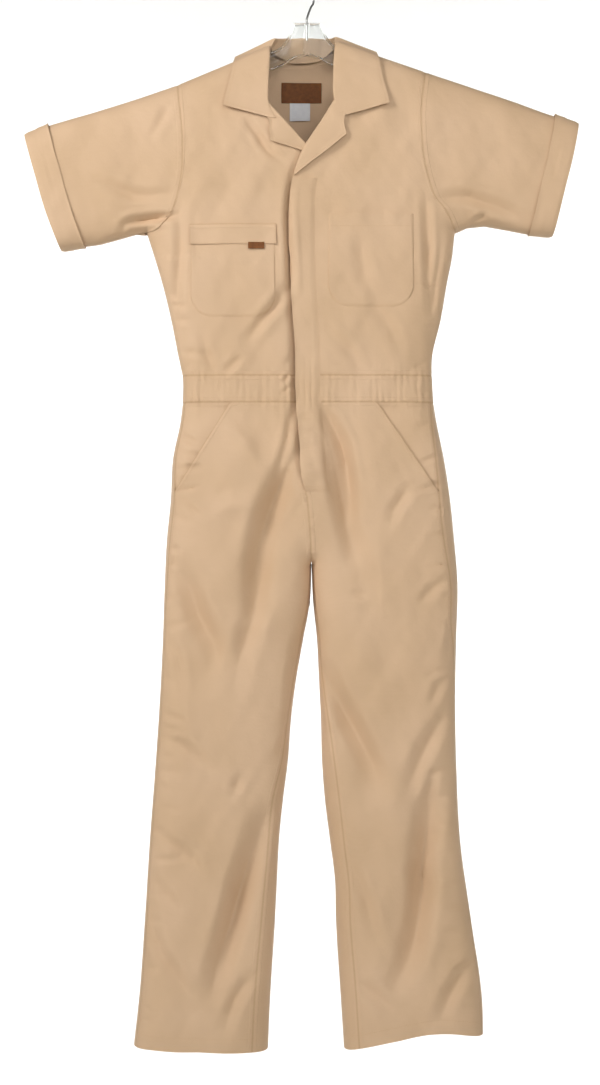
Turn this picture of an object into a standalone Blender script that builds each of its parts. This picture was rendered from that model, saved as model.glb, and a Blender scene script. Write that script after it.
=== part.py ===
"""A short-sleeved boiler suit in tan poplin, hung on a clear display hanger with a steel hook.

Metres, +Z up. The wearer faces -Y, so +X is the wearer's left. The origin is the place inside
the top of the hook where a rail carries it, and every height below it is negative.

The suit is two sheets of cloth, front and back, that meet in a rounded fold along the outline.
depth() says how far each sheet stands off the plane Y = 0, and every panel, pocket and strip is
cut from those two sheets, so that neighbours meet along a shared seam.
"""

import math

import bmesh
import bpy
import numpy as np
from mathutils import Vector
from mathutils.bvhtree import BVHTree

CLOTH = 0.0012
SEAM_GAP = 0.0007
LIFT = 0.0006
FRONT = -1
BACK = 1

# The outline of body and legs. Heights and widths in metres, from the middle of the hook.
BODY = {
    "height": (-0.4060, -0.4483, -0.4809, -0.5461, -0.6113, -0.6439, -0.6765, -0.7091, -0.7743, -0.8395,
               -0.9047, -0.9700, -1.0677, -1.1655, -1.2633, -1.3937, -1.5241, -1.6545, -1.7310),
    "right": (-0.2611, -0.2478, -0.2380, -0.2217, -0.2086, -0.2021, -0.2021, -0.2054, -0.2184, -0.2217,
              -0.2282, -0.2314, -0.2347, -0.2396, -0.2461, -0.2559, -0.2641, -0.2738, -0.2825),
    "left": (0.2412, 0.2364, 0.2298, 0.2184, 0.2037, 0.2037, 0.2054, 0.2103, 0.2233, 0.2331,
             0.2396, 0.2450, 0.2429, 0.2412, 0.2429, 0.2494, 0.2673, 0.2853, 0.2869),
}
CROTCH = (0.0072, -0.9450)
INNER_LEG = {
    "height": (-0.9450, -1.0025, -1.0677, -1.1329, -1.1981, -1.2633, -1.3285, -1.3937, -1.4589, -1.5241,
               -1.6545, -1.7310),
    "right": (0.0072, 0.0049, -0.0065, -0.0179, -0.0261, -0.0310, -0.0391, -0.0456, -0.0489, -0.0522,
              -0.0603, -0.0636),
    "left": (0.0072, 0.0098, 0.0163, 0.0196, 0.0228, 0.0244, 0.0293, 0.0375, 0.0456, 0.0473,
             0.0554, 0.0603),
}
# How full the cloth hangs: the most that each sheet stands off the middle plane.
FULLNESS = {
    "height": (-0.060, -0.250, -0.400, -0.550, -0.660, -0.780, -0.900, -1.150, -1.450, -1.731),
    "front": (0.046, 0.050, 0.052, 0.048, 0.044, 0.062, 0.068, 0.066, 0.062, 0.064),
    "back": (0.046, 0.052, 0.054, 0.048, 0.044, 0.064, 0.072, 0.068, 0.062, 0.064),
}
SLEEVE_FULLNESS = 0.044

# Shoulder and sleeve outlines, from the neck point out to the cuff's fold.
NECK_POINT = {"right": (-0.0640, -0.1035), "left": (0.0520, -0.0950)}
SHOULDER_TIP = {"right": (-0.2108, -0.1647), "left": (0.1923, -0.1435)}
NECK_DIP = 0.0245
TOP_LINE = {
    "across": (-0.4580, -0.4189, -0.3456, -0.2722, -0.2108, -0.0640, 0.0520, 0.1923, 0.2657, 0.3390,
               0.3879, 0.4400),
    "height": (-0.2446, -0.2299, -0.2087, -0.1859, -0.1647, -0.1035, -0.0950, -0.1435, -0.1679, -0.1924,
               -0.2103, -0.2266),
}
UNDERARM = {
    "right": ((-0.2611, -0.4071), (-0.2771, -0.4070), (-0.3015, -0.4141), (-0.3374, -0.4239),
              (-0.3619, -0.4271), (-0.3984, -0.4336)),
    "left": ((0.2412, -0.4053), (0.2608, -0.3970), (0.2895, -0.3940), (0.3286, -0.4010),
             (0.3570, -0.4066), (0.3977, -0.4105)),
}
CUFF_FOLD = {
    "right": ((-0.4580, -0.2446), (-0.4385, -0.3122), (-0.4212, -0.3717), (-0.3984, -0.4336)),
    "left": ((0.4400, -0.2266), (0.4271, -0.2886), (0.4140, -0.3407), (0.3977, -0.4105)),
}
CUFF_WIDTH = 0.0385
ARMHOLE = {
    "right": ((-0.2108, -0.1647), (-0.2022, -0.2397), (-0.2009, -0.2784), (-0.2022, -0.3122),
              (-0.2095, -0.3492), (-0.2207, -0.3798), (-0.2398, -0.4000), (-0.2611, -0.4071)),
    "left": ((0.1923, -0.1435), (0.1850, -0.2006), (0.1844, -0.2391), (0.1894, -0.2929),
             (0.2048, -0.3471), (0.2253, -0.3742), (0.2412, -0.4053)),
}

# Waist seams, the closing edge of the left front, and the seams of the legs.
WAIST_TOP = -0.6387
WAIST_BOTTOM = -0.6821
ROLL = {
    "right": ((-0.0019, -0.2690), (-0.0420, -0.2252), (-0.0680, -0.2120), (-0.0740, -0.1840),
              (-0.0720, -0.1400), (-0.0640, -0.1035)),
    "left": ((-0.0222, -0.3187), (-0.0019, -0.2690), (0.0340, -0.2140), (0.0560, -0.2000),
             (0.0580, -0.1600), (0.0560, -0.1300), (0.0520, -0.0950)),
}
CLOSING_EDGE = {
    "height": (-0.2690, -0.3187, -0.3750, -0.4232, -0.5195, -0.5917, -0.6688, -0.7541, -0.8102, -0.8294),
    "across": (-0.0019, -0.0222, -0.0275, -0.0275, -0.0243, -0.0194, -0.0178, -0.0114, -0.0066, -0.0018),
}
FLY_END = -0.8310
UNDERLAP = 0.036
PLACKET_WIDTH = 0.040
CENTRE_SEAM = {"height": (-0.8310, -0.9144, -0.9450), "across": (-0.0002, 0.0062, 0.0072)}
# How far round toward the front each seam has come, from the outline.
SIDE_SEAM = {
    "height": (-0.6821, -0.7755, -0.8846, -0.9371, -0.9726, -1.0388, -1.0760, -1.1244, -1.7310),
    "right": (0.0040, 0.0060, 0.0070, 0.0060, 0.0050, 0.0040, 0.0040, 0.0040, 0.0040),
    "left": (0.0060, 0.0157, 0.0200, 0.0170, 0.0140, 0.0115, 0.0064, 0.0040, 0.0040),
}
INSEAM = {
    "height": (-0.9450, -1.0000, -1.1200, -1.1850, -1.2550, -1.3300, -1.4000, -1.5000, -1.6000, -1.7310),
    "right": (0.0010, 0.0030, 0.0040, 0.0050, 0.0090, 0.0170, 0.0170, 0.0210, 0.0240, 0.0250),
    "left": (0.0010, 0.0030, 0.0050, 0.0105, 0.0190, 0.0230, 0.0220, 0.0220, 0.0240, 0.0240),
}
HEM_BASE = -1.7310
HEM = {
    "right": ((-0.2825, -1.7243), (-0.1711, -1.7283), (-0.0636, -1.7310)),
    "left": ((0.0603, -1.7305), (0.1630, -1.7058), (0.2205, -1.6981), (0.2869, -1.7067)),
}

# Large folds that the hanging cloth falls into: a soft trough (negative) or ridge from one end
# to the other. width is where it has fallen to about a third of its height.
FRONT_FOLDS = (
    {"start": (-0.028, -0.790), "end": (-0.095, -1.040), "width": 0.028, "height": -0.0090},
    {"start": (0.045, -0.700), "end": (0.088, -1.000), "width": 0.028, "height": -0.0080},
    {"start": (-0.220, -0.930), "end": (-0.135, -1.150), "width": 0.030, "height": -0.0070},
    {"start": (0.024, -1.100), "end": (0.120, -1.330), "width": 0.028, "height": -0.0080},
    {"start": (0.205, -1.270), "end": (0.140, -1.650), "width": 0.028, "height": -0.0080},
    {"start": (-0.060, -1.330), "end": (-0.155, -1.680), "width": 0.028, "height": -0.0090},
)
BACK_FOLDS = (
    {"start": (-0.120, -0.200), "end": (-0.110, -0.600), "width": 0.030, "height": -0.0060},
    {"start": (0.115, -0.190), "end": (0.120, -0.600), "width": 0.030, "height": -0.0060},
    {"start": (-0.020, -0.860), "end": (-0.110, -1.180), "width": 0.030, "height": -0.0100},
    {"start": (0.022, -0.860), "end": (0.105, -1.180), "width": 0.030, "height": -0.0100},
    {"start": (-0.200, -1.250), "end": (-0.140, -1.600), "width": 0.028, "height": -0.0070},
    {"start": (0.200, -1.250), "end": (0.150, -1.600), "width": 0.028, "height": -0.0070},
)


# ---------------------------------------------------------------- curves


def column(table, name, at, key="height"):
    """A table's column read at any height, straight between its rows."""
    keys = np.array(table[key])
    order = np.argsort(keys)
    return np.interp(at, keys[order], np.array(table[name])[order])


def curve(points, count, ease=None):
    """count points spread along a smooth curve through the given ones."""
    points = np.array(points, float)
    padded = np.vstack([2 * points[0] - points[1], points, 2 * points[-1] - points[-2]])
    fine = []
    for before, start, end, after in zip(padded, padded[1:], padded[2:], padded[3:]):
        for t in np.linspace(0, 1, 24, endpoint=False):
            fine.append(0.5 * (2 * start + (end - before) * t
                               + (2 * before - 5 * start + 4 * end - after) * t * t
                               + (3 * start - before - 3 * end + after) * t ** 3))
    fine.append(points[-1])
    return spread(np.array(fine), count, ease)


def spread(line, count, ease=None):
    """count points along a line of straight runs, evenly or as ease spaces them."""
    line = np.array(line, float)
    lengths = np.concatenate([[0], np.cumsum(np.linalg.norm(np.diff(line, axis=0), axis=1))])
    share = np.linspace(0, 1, count)
    if ease is not None:
        share = ease(share)
    at = share * lengths[-1]
    return np.column_stack([np.interp(at, lengths, line[:, k]) for k in range(line.shape[1])])


def joined(*parts):
    """Curves end to end as one line, each shared end point kept once."""
    return np.vstack([parts[0]] + [part[1:] for part in parts[1:]])


def close_at_start(share):
    return share ** 1.7


def close_at_end(share):
    return 1 - (1 - share) ** 1.7


def close_at_both_ends(share):
    return 0.5 - 0.5 * np.cos(np.pi * share)


def coons(bottom, top, start, end):
    """A grid filled in between four edges. bottom and top run along it, start and end across it."""
    across = np.linspace(0, 1, len(bottom))[None, :, None]
    up = np.linspace(0, 1, len(start))[:, None, None]
    ruled = (1 - up) * bottom[None] + up * top[None] + (1 - across) * start[:, None] + across * end[:, None]
    corners = ((1 - up) * ((1 - across) * bottom[0] + across * bottom[-1])
               + up * ((1 - across) * top[0] + across * top[-1]))
    return ruled - corners


# ---------------------------------------------------------------- the two sheets of cloth


def away_from(line, x, z):
    """Distance in the plane Y = 0 from a line of straight runs."""
    line = np.array(line, float)
    nearest = np.full(np.shape(x), 9.0)
    for (ax, az), (bx, bz) in zip(line, line[1:]):
        run_x, run_z = bx - ax, bz - az
        share = ((x - ax) * run_x + (z - az) * run_z) / (run_x ** 2 + run_z ** 2)
        share = np.clip(share, 0, 1)
        nearest = np.minimum(nearest, np.hypot(x - ax - share * run_x, z - az - share * run_z))
    return nearest


def rounded(distance, reach):
    """0 on the fold, rising as a round edge does, and near 1 far from it."""
    distance = np.maximum(distance, 0)
    return np.sqrt(distance / (distance + reach))


def outer_line(side):
    """The outline from a leg's hem up to the armpit and out under the sleeve, a little past its ends."""
    body = list(zip(BODY[side], BODY["height"]))[::-1]
    sleeve = list(UNDERARM[side])
    past = 2 * np.array(sleeve[-1]) - np.array(sleeve[-2])
    return [(body[0][0], body[0][1] - 0.1)] + body + sleeve[1:] + [tuple(past)]


def inner_line(side):
    legs = list(zip(INNER_LEG[side], INNER_LEG["height"]))
    return legs + [(legs[-1][0], legs[-1][1] - 0.1)]


OUTER = {side: outer_line(side) for side in ("right", "left")}
INNER = {side: inner_line(side) for side in ("right", "left")}


def fold_height(folds, x, z):
    """How far the large folds move the cloth out at a place."""
    total = np.zeros(np.shape(x))
    for fold in folds:
        (ax, az), (bx, bz) = fold["start"], fold["end"]
        length = math.hypot(bx - ax, bz - az)
        along = ((x - ax) * (bx - ax) + (z - az) * (bz - az)) / length ** 2
        off = ((x - ax) * (bz - az) - (z - az) * (bx - ax)) / length
        taper = np.sin(np.pi * np.clip(along, 0, 1)) ** 0.8
        total = total + fold["height"] * taper * np.exp(-(off / fold["width"]) ** 2)
    return total


def depth(x, z, sheet):
    """How far the outside of one sheet stands off the plane Y = 0."""
    x, z = np.asarray(x, float), np.asarray(z, float)
    full = column(FULLNESS, "front" if sheet == FRONT else "back", z)
    on_sleeve = np.clip((np.abs(x) - 0.16) / 0.12, 0, 1) * (z > -0.45)
    full = full + (SLEEVE_FULLNESS - full) * on_sleeve
    below_top = column(TOP_LINE, "height", x, "across") - z
    sides = np.minimum(away_from(OUTER["right"], x, z), 9)
    other = away_from(OUTER["left"], x, z)
    split = np.minimum(away_from(INNER["right"], x, z), away_from(INNER["left"], x, z))
    edge = rounded(below_top, 0.030) * rounded(sides, 0.020) * rounded(other, 0.020) * rounded(split, 0.026)
    folds = fold_height(FRONT_FOLDS if sheet == FRONT else BACK_FOLDS, x, z)
    return full * edge + folds * np.clip(edge, 0, 1)


def on_sheet(plan, sheet):
    """Points of a sheet above a plan of (x, z) places."""
    x, z = plan[..., 0], plan[..., 1]
    return np.stack([x, sheet * depth(x, z, sheet), z], axis=-1)


AT_OUTLINE = 0.0016


def normals(x, z, sheet):
    """Directions square to a sheet, away from the plane Y = 0."""
    step = 0.0004
    slope_x = (depth(x + step, z, sheet) - depth(x - step, z, sheet)) / (2 * step)
    slope_z = (depth(x, z + step, sheet) - depth(x, z - step, sheet)) / (2 * step)
    return np.stack([-slope_x, np.full(np.shape(x), sheet), -slope_z], axis=-1)


def outward_of(points):
    """Directions square to the sheets at a grid of points, and out within the plane Y = 0 on the outline."""
    x, y, z = points[..., 0], points[..., 1], points[..., 2]
    out = np.where(y[..., None] > 0, normals(x, z, BACK), normals(x, z, FRONT))
    at_outline = np.cross(np.gradient(points, axis=0), np.gradient(points, axis=1))
    if np.sum(at_outline[..., 1] * y) < 0:
        at_outline = -at_outline
    at_outline[..., 1] = 0
    out = np.where(np.abs(y[..., None]) < AT_OUTLINE, at_outline, out)
    return out / np.linalg.norm(out, axis=-1, keepdims=True)


# ---------------------------------------------------------------- making objects


def material(name, colour, roughness=0.8, metallic=0.0, transmission=0.0):
    made = bpy.data.materials.new(name)
    made.use_nodes = True
    shader = made.node_tree.nodes["Principled BSDF"]
    shader.inputs["Base Color"].default_value = (*colour, 1.0)
    shader.inputs["Roughness"].default_value = roughness
    shader.inputs["Metallic"].default_value = metallic
    shader.inputs["Transmission Weight"].default_value = transmission
    return made


def new_object(name, points, faces, made_of):
    mesh = bpy.data.meshes.new(name)
    mesh.from_pydata([tuple(map(float, p)) for p in points], [], faces)
    mesh.update()
    thing = bpy.data.objects.new(name, mesh)
    thing.data.materials.append(made_of)
    bpy.context.scene.collection.objects.link(thing)
    return thing


def pull_back(points):
    """Draws each edge of a grid in by half a seam's gap."""
    points = points.copy()
    for edge, beside in ((0, 1), (-1, -2)):
        for grid in (points, points.swapaxes(0, 1)):
            run = grid[beside] - grid[edge]
            length = np.maximum(np.linalg.norm(run, axis=-1, keepdims=True), 1e-9)
            grid[edge] += run / length * np.minimum(SEAM_GAP / 2, length / 3)
    return points


def wall(name, points, made_of, outside=0.0, inside=-CLOTH, outward=None):
    """A wall of cloth from a grid of points: one skin at each height along the outward directions."""
    outward = outward_of(points) if outward is None else outward
    points = pull_back(points)
    rows, columns = points.shape[:2]
    skins = np.concatenate([(points + outward * outside).reshape(-1, 3),
                            (points + outward * inside).reshape(-1, 3)])
    count = rows * columns
    faces = []
    for row in range(rows - 1):
        for col in range(columns - 1):
            a = row * columns + col
            quad = (a, a + 1, a + columns + 1, a + columns)
            faces.append(quad)
            faces.append(tuple(count + k for k in reversed(quad)))
    rim = ([(0, col) for col in range(columns)]
           + [(row, columns - 1) for row in range(1, rows)]
           + [(rows - 1, col) for col in range(columns - 2, -1, -1)]
           + [(row, 0) for row in range(rows - 2, 0, -1)])
    ring = [row * columns + col for row, col in rim]
    for a, b in zip(ring, ring[1:] + ring[:1]):
        faces.append((b, a, count + a, count + b))
    thing = new_object(name, skins, faces, made_of)
    shell = bmesh.new()
    shell.from_mesh(thing.data)
    bmesh.ops.triangulate(shell, faces=shell.faces)
    bmesh.ops.recalc_face_normals(shell, faces=shell.faces)
    if shell.calc_volume(signed=True) < 0:
        bmesh.ops.reverse_faces(shell, faces=shell.faces)
    shell.to_mesh(thing.data)
    shell.free()
    thing.data.shade_smooth()
    thing.data.set_sharp_from_angle(angle=math.radians(50))
    return thing


def surface_under(pieces, x, z, sheet):
    """The y of the outermost cloth of some pieces at a place, looked for from outside."""
    start, toward = Vector((x, sheet * 0.5, z)), Vector((0, -sheet, 0))
    hits = [tree.ray_cast(start, toward)[0] for tree in pieces]
    heights = [hit.y for hit in hits if hit is not None]
    return sheet * max((sheet * y for y in heights), default=-9.0)


def faces_of(things):
    """What rays are cast at: the built cloth of some pieces."""
    return [BVHTree.FromPolygons([v.co for v in thing.data.vertices],
                                 [face.vertices[:] for face in thing.data.polygons]) for thing in things]


def laid_on(plan, things, sheet, fine=6):
    """Points over a plan, raised just enough that the flat facets between them clear the cloth below."""
    pieces = faces_of(things)
    rows, columns = plan.shape[:2]
    up = np.linspace(0, rows - 1, (rows - 1) * fine + 1)
    across = np.linspace(0, columns - 1, (columns - 1) * fine + 1)
    row_share = np.maximum(0, 1 - np.abs(up[:, None] - np.arange(rows)[None]))
    column_share = np.maximum(0, 1 - np.abs(across[:, None] - np.arange(columns)[None]))
    places = np.einsum("ir,jc,rck->ijk", row_share, column_share, plan)
    height = np.array([[sheet * surface_under(pieces, x, z, sheet) for x, z in line] for line in places])
    height = np.maximum(height, sheet_floor(height))
    corner = height[::fine, ::fine].copy()
    for _ in range(3):
        short = np.maximum(height - row_share @ corner @ column_share.T, 0)
        for row in range(rows):
            for col in range(columns):
                near = short[max(0, (row - 1) * fine):(row + 1) * fine + 1,
                             max(0, (col - 1) * fine):(col + 1) * fine + 1]
                corner[row, col] += near.max()
    return np.stack([plan[..., 0], sheet * corner, plan[..., 1]], axis=-1)


def sheet_floor(height):
    """Stands in for places where no cloth lies below: the least height found anywhere else."""
    found = height[height > -1]
    return found.min() if len(found) else 0.0


def patch(name, plan, made_of, under):
    """A piece that lies on others on the front, made from the points of their cloth moved out."""
    points = laid_on(plan, under, FRONT)
    outward = outward_of(points) + (0, FRONT, 0)
    outward /= np.linalg.norm(outward, axis=-1, keepdims=True)
    return wall(name, points, made_of, LIFT + CLOTH, LIFT, outward)


# ---------------------------------------------------------------- the pieces of the bodice

ARMHOLE_POINTS = 10


def closing_edge(z):
    return column(CLOSING_EDGE, "across", z)


def body_side(side, armpit_row):
    """The side seam of the bodice from the waist up, then the armhole up to the shoulder."""
    heights = np.linspace(WAIST_TOP, ARMHOLE[side][-1][1], armpit_row)
    down = np.column_stack([column(BODY, side, heights), heights])
    down[-1] = ARMHOLE[side][-1]
    return joined(down, curve(ARMHOLE[side][::-1], ARMHOLE_POINTS, close_at_both_ends))


def front_panel(side, poplin):
    """Half the bodice front: waist seam, side seam, armhole, shoulder, and the edge it closes on."""
    outer = body_side(side, 6)
    foot, low_rows, columns = ROLL[side][0][1], 7, 10
    heights = np.linspace(WAIST_TOP, foot, low_rows)
    across = closing_edge(heights)
    if side == "right":
        across = across + UNDERLAP * np.clip((foot - heights) / 0.05, 0, 1)
    above = spread(ROLL[side], len(outer) - low_rows + 1, close_at_end)
    inner = joined(np.column_stack([across, heights]), above)
    bottom = spread([outer[0], inner[0]], columns, close_at_start)
    top = spread([outer[-1], inner[-1]], columns)
    points = on_sheet(coons(bottom, top, outer, inner), FRONT)
    if side == "right":
        points = tuck_under(points)
    return wall(f"front_{side}", points, poplin)


TUCK = CLOTH + 3 * LIFT


def tuck_under(points):
    """Moves cloth that runs under the closing edge in behind it."""
    past = points[..., 0] - closing_edge(points[..., 2]) + 0.018
    share = (np.clip(past / 0.014, 0, 1) * np.clip((-0.235 - points[..., 2]) / 0.020, 0, 1)
             * np.clip((points[..., 2] - CROTCH[1]) / 0.050, 0, 1))
    points[..., 1] += TUCK * share * share * (3 - 2 * share)
    return points


def back_panel(poplin):
    """The whole bodice back, with the neck cut out of its top edge."""
    sides = {side: body_side(side, 6) for side in ("right", "left")}
    top = joined(spread([SHOULDER_TIP["right"], NECK_POINT["right"]], 6), back_neck(7),
                 spread([NECK_POINT["left"], SHOULDER_TIP["left"]], 6))
    bottom = spread([sides["right"][0], sides["left"][0]], len(top), close_at_both_ends)
    return wall("back", on_sheet(coons(bottom, top, sides["right"], sides["left"]), BACK), poplin)


def back_neck(count):
    """The neck seam across the back, a shallow dip between the neck points."""
    right, left = np.array(NECK_POINT["right"]), np.array(NECK_POINT["left"])
    share = np.linspace(0, 1, count)
    line = right + (left - right) * share[:, None]
    line[:, 1] -= NECK_DIP * np.sin(np.pi * share) ** 0.7
    return line


def waistband(poplin):
    """The elasticated band between bodice and trousers: two fronts and a back."""
    rows, fronts = np.linspace(WAIST_BOTTOM, WAIST_TOP, 3), {}
    for side in ("right", "left"):
        plan = []
        for z in rows:
            outer = column(BODY, side, z)
            inner = closing_edge(z) + (UNDERLAP if side == "right" else 0)
            plan.append(np.column_stack([outer + (inner - outer) * close_at_start(np.linspace(0, 1, 11)),
                                         np.full(11, z)]))
        points = on_sheet(np.array(plan), FRONT)
        if side == "right":
            points = tuck_under(points)
        fronts[side] = wall(f"waistband_front_{side}", points, poplin)
    plan = []
    for z in rows:
        right, left = column(BODY, "right", z), column(BODY, "left", z)
        share = close_at_both_ends(np.linspace(0, 1, 17))
        plan.append(np.column_stack([right + (left - right) * share, np.full(17, z)]))
    wall("waistband_back", on_sheet(np.array(plan), BACK), poplin)
    return fronts


# ---------------------------------------------------------------- sleeves


def under_height(side, across):
    keys = np.array(UNDERARM[side])
    order = np.argsort(keys[:, 0])
    return np.interp(across, keys[order, 0], keys[order, 1])


def cuff_line(side, inside_fold):
    """The line across the sleeve this far in from the cuff's fold, from the top line to the underarm."""
    fold = curve(CUFF_FOLD[side], ARMHOLE_POINTS, close_at_both_ends)
    toward = 1 if side == "right" else -1
    ends = fold[[0, -1], 0] + toward * inside_fold * 0.97
    head = np.array([ends[0], column(TOP_LINE, "height", ends[0], "across")])
    foot = np.array([ends[1], under_height(side, ends[1])])
    share = close_at_both_ends(np.linspace(0, 1, ARMHOLE_POINTS))[:, None]
    return fold + (head - fold[0]) * (1 - share) + (foot - fold[-1]) * share


def round_sleeve(side, lines):
    """Grid points round the sleeve: underarm, front, over the top fold and down the back."""
    plan = np.array([line[::-1] for line in lines]).swapaxes(0, 1)
    front, back = on_sheet(plan, FRONT), on_sheet(plan[::-1], BACK)
    front[-1, :, 1] = 0
    front[0, :, 1], back[-1, :, 1] = -SEAM_GAP / 2, SEAM_GAP / 2
    return np.vstack([front, back[1:]])


def sleeve_lines(side, count):
    """Lines across the sleeve, evenly from its armhole to the inner edge of the cuff."""
    armhole = curve(ARMHOLE[side], ARMHOLE_POINTS, close_at_both_ends)
    cuff_edge = cuff_line(side, CUFF_WIDTH)
    lines = []
    for share in np.linspace(0, 1, count):
        line = armhole + (cuff_edge - armhole) * share
        head, foot = line[0], line[-1]
        head_rise = column(TOP_LINE, "height", head[0], "across") - head[1]
        foot_rise = under_height(side, foot[0]) - foot[1]
        down = close_at_both_ends(np.linspace(0, 1, ARMHOLE_POINTS))
        line[:, 1] += head_rise * (1 - down) + foot_rise * down
        lines.append(line)
    return lines


def sleeve(side, poplin):
    """A sleeve from armhole to the fold of its cuff, seamed under the arm, and the turned-back cuff."""
    cuff_rows = [cuff_line(side, CUFF_WIDTH * share) for share in (1.0, 0.5, 0.0)]
    points = round_sleeve(side, sleeve_lines(side, 6) + cuff_rows[1:])
    outward = outward_of(points)
    wall(f"sleeve_{side}", points, poplin, outward=outward)
    wall(f"cuff_{side}", points[:, -3:], poplin, LIFT + CLOTH, LIFT, outward[:, -3:])


# ---------------------------------------------------------------- trouser legs

POCKET_TOP = {"right": -0.1245, "left": 0.1132}
POCKET_FOOT = -0.8270
FLY_ROWS, FORK_ROWS, LEG_ROWS = 5, 4, 11


def leg_heights():
    """Row heights down a leg: beside the fly, from there to the fork, and on to the hem."""
    return np.concatenate([np.linspace(WAIST_BOTTOM, FLY_END, FLY_ROWS),
                           np.linspace(FLY_END, CROTCH[1], FORK_ROWS)[1:],
                           np.linspace(CROTCH[1], HEM_BASE, LEG_ROWS)[1:]])


def leg_section(side, z):
    """Outer and inner edge of the leg at a height, and the angle at which it ends above the fork."""
    outer = column(BODY, side, z)
    if z >= CROTCH[1]:
        rise = (z - CROTCH[1]) / (WAIST_BOTTOM - CROTCH[1])
        turn = math.pi - math.pi * 0.46 * min(1.0, rise / 0.45) ** 0.7
        return outer, column(CENTRE_SEAM, "across", z), turn
    return outer, column(INNER_LEG, side, z), math.pi


def angle_of(inset, width):
    """The angle round the section at which the cloth is this far in from the edge."""
    return math.acos(max(-1.0, 1.0 - 2.0 * inset / abs(width)))


def fall_to_hem(side, across, z):
    """Heights of a row's points: level high up, following the slope of the hem near it."""
    keys = np.array(HEM[side])
    share = np.clip((-1.35 - z) / (-1.35 - HEM_BASE), 0, 1)
    return z + (np.interp(across, keys[:, 0], keys[:, 1]) - HEM_BASE) * share


def leg_panel(side, sheet, poplin):
    """A leg's front or back. The back wraps a little way round to the front at both seams."""
    name = "front" if sheet == FRONT else "back"
    points = []
    for z in leg_heights():
        outer, inner, last = leg_section(side, z)
        width = (outer - inner) * 2 / (1 - math.cos(last))
        side_turn = angle_of(column(SIDE_SEAM, side, z), width)
        fork_turn = angle_of(column(INSEAM, side, z), width) if z <= CROTCH[1] else 0.0
        if sheet == FRONT:
            angles = np.linspace(side_turn, last - fork_turn, 10)
        else:
            round_back = np.linspace(0, last, 12) if z > CROTCH[1] else np.linspace(0, last, 11)
            past_fork = [] if z > CROTCH[1] else [last + fork_turn]
            angles = np.concatenate([[-side_turn], round_back, past_fork])
        across = outer + (inner - outer) * (1 - np.cos(angles)) / (1 - math.cos(last))
        if sheet == FRONT:
            across = to_closing_edge(side, z, cut_for_pocket(side, z, across))
        plan = np.column_stack([across, fall_to_hem(side, across, z)])
        in_front = ((angles < 0) | (angles > math.pi) | (sheet == FRONT))[:, None]
        points.append(np.where(in_front, on_sheet(plan, FRONT), on_sheet(plan, BACK)))
    points = np.array(points)
    if sheet == FRONT and side == "right":
        points = tuck_under(points)
    return wall(f"leg_{name}_{side}", points, poplin)


def to_closing_edge(side, z, across):
    """Moves a front row's middle end out to the closing edge, or on under it."""
    if z < FLY_END:
        return across
    target = closing_edge(z) + (0 if side == "left" else UNDERLAP)
    return across + (target - across[-1]) * np.linspace(0, 1, len(across)) ** 2


def pocket_slant(side, z):
    """Where the slanted pocket mouth crosses a height."""
    foot = seam_line(side, POCKET_FOOT)
    share = (z - POCKET_FOOT) / (WAIST_BOTTOM - POCKET_FOOT)
    return foot + (POCKET_TOP[side] - foot) * share


def seam_line(side, z):
    """Where the side seam shows from the front at a height."""
    outer = column(BODY, side, z)
    return outer - math.copysign(column(SIDE_SEAM, side, z), outer)


def cut_for_pocket(side, z, across):
    """Moves a front row's outer end in to the pocket mouth."""
    if z <= POCKET_FOOT:
        return across
    mouth = pocket_slant(side, z)
    return mouth + (across - across[0]) * (across[-1] - mouth) / (across[-1] - across[0])


POCKET_LAP = 0.014
POCKET_SINK = 0.0038


def pocket_facing(side, poplin):
    """The side piece behind the slanted mouth of a hip pocket, running on under the front."""
    rows, sink = [], []
    for z in np.linspace(POCKET_FOOT + 0.003, WAIST_BOTTOM, 6):
        mouth = pocket_slant(side, z)
        inner = mouth - math.copysign(POCKET_LAP, mouth)
        across = np.linspace(seam_line(side, z), inner, 6)
        rows.append(np.column_stack([across, np.full(6, z)]))
        share = (abs(across - across[0]) + 0.003) / (abs(mouth - across[0]) + 0.003)
        sink.append(POCKET_SINK * np.clip(share, 0, 1))
    points = on_sheet(np.array(rows), FRONT)
    outward = outward_of(points)
    points = points - outward * np.array(sink)[..., None]
    return wall(f"pocket_facing_{side}", points, poplin, outward=outward)


# ---------------------------------------------------------------- pieces that lie on the fronts

CHEST_POCKET = {
    "right": {"from": -0.1872, "to": -0.0515, "top": -0.4080, "foot": -0.5452, "corner": 0.030},
    "left": {"from": 0.0347, "to": 0.1714, "top": -0.3797, "foot": -0.5291, "corner": 0.030},
}
FLAP = {"from": -0.1896, "to": -0.0500, "top": -0.3959, "foot": -0.4285}
TAB = {"from": -0.0948, "to": -0.0685, "top": -0.4292, "foot": -0.4361}


def rounded_pocket(pocket):
    """A plan with a straight top and sides and two round lower corners."""
    radius, foot = pocket["corner"], pocket["foot"]
    turn = np.linspace(0, math.pi / 2, 4)
    left = [(pocket["from"] + radius * (1 - math.cos(a)), foot + radius * (1 - math.sin(a))) for a in turn]
    right = [(pocket["to"] - radius * (1 - math.cos(a)), foot + radius * (1 - math.sin(a)))
             for a in turn[::-1]]
    bottom = spread(left + right, 8)
    top = spread([(pocket["from"], pocket["top"]), (pocket["to"], pocket["top"])], 8)
    return coons(bottom, top, spread([bottom[0], top[0]], 6), spread([bottom[-1], top[-1]], 6))


def rectangle(box, columns, rows):
    bottom = spread([(box["from"], box["foot"]), (box["to"], box["foot"])], columns)
    top = spread([(box["from"], box["top"]), (box["to"], box["top"])], columns)
    return coons(bottom, top, spread([bottom[0], top[0]], rows), spread([bottom[-1], top[-1]], rows))


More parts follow.
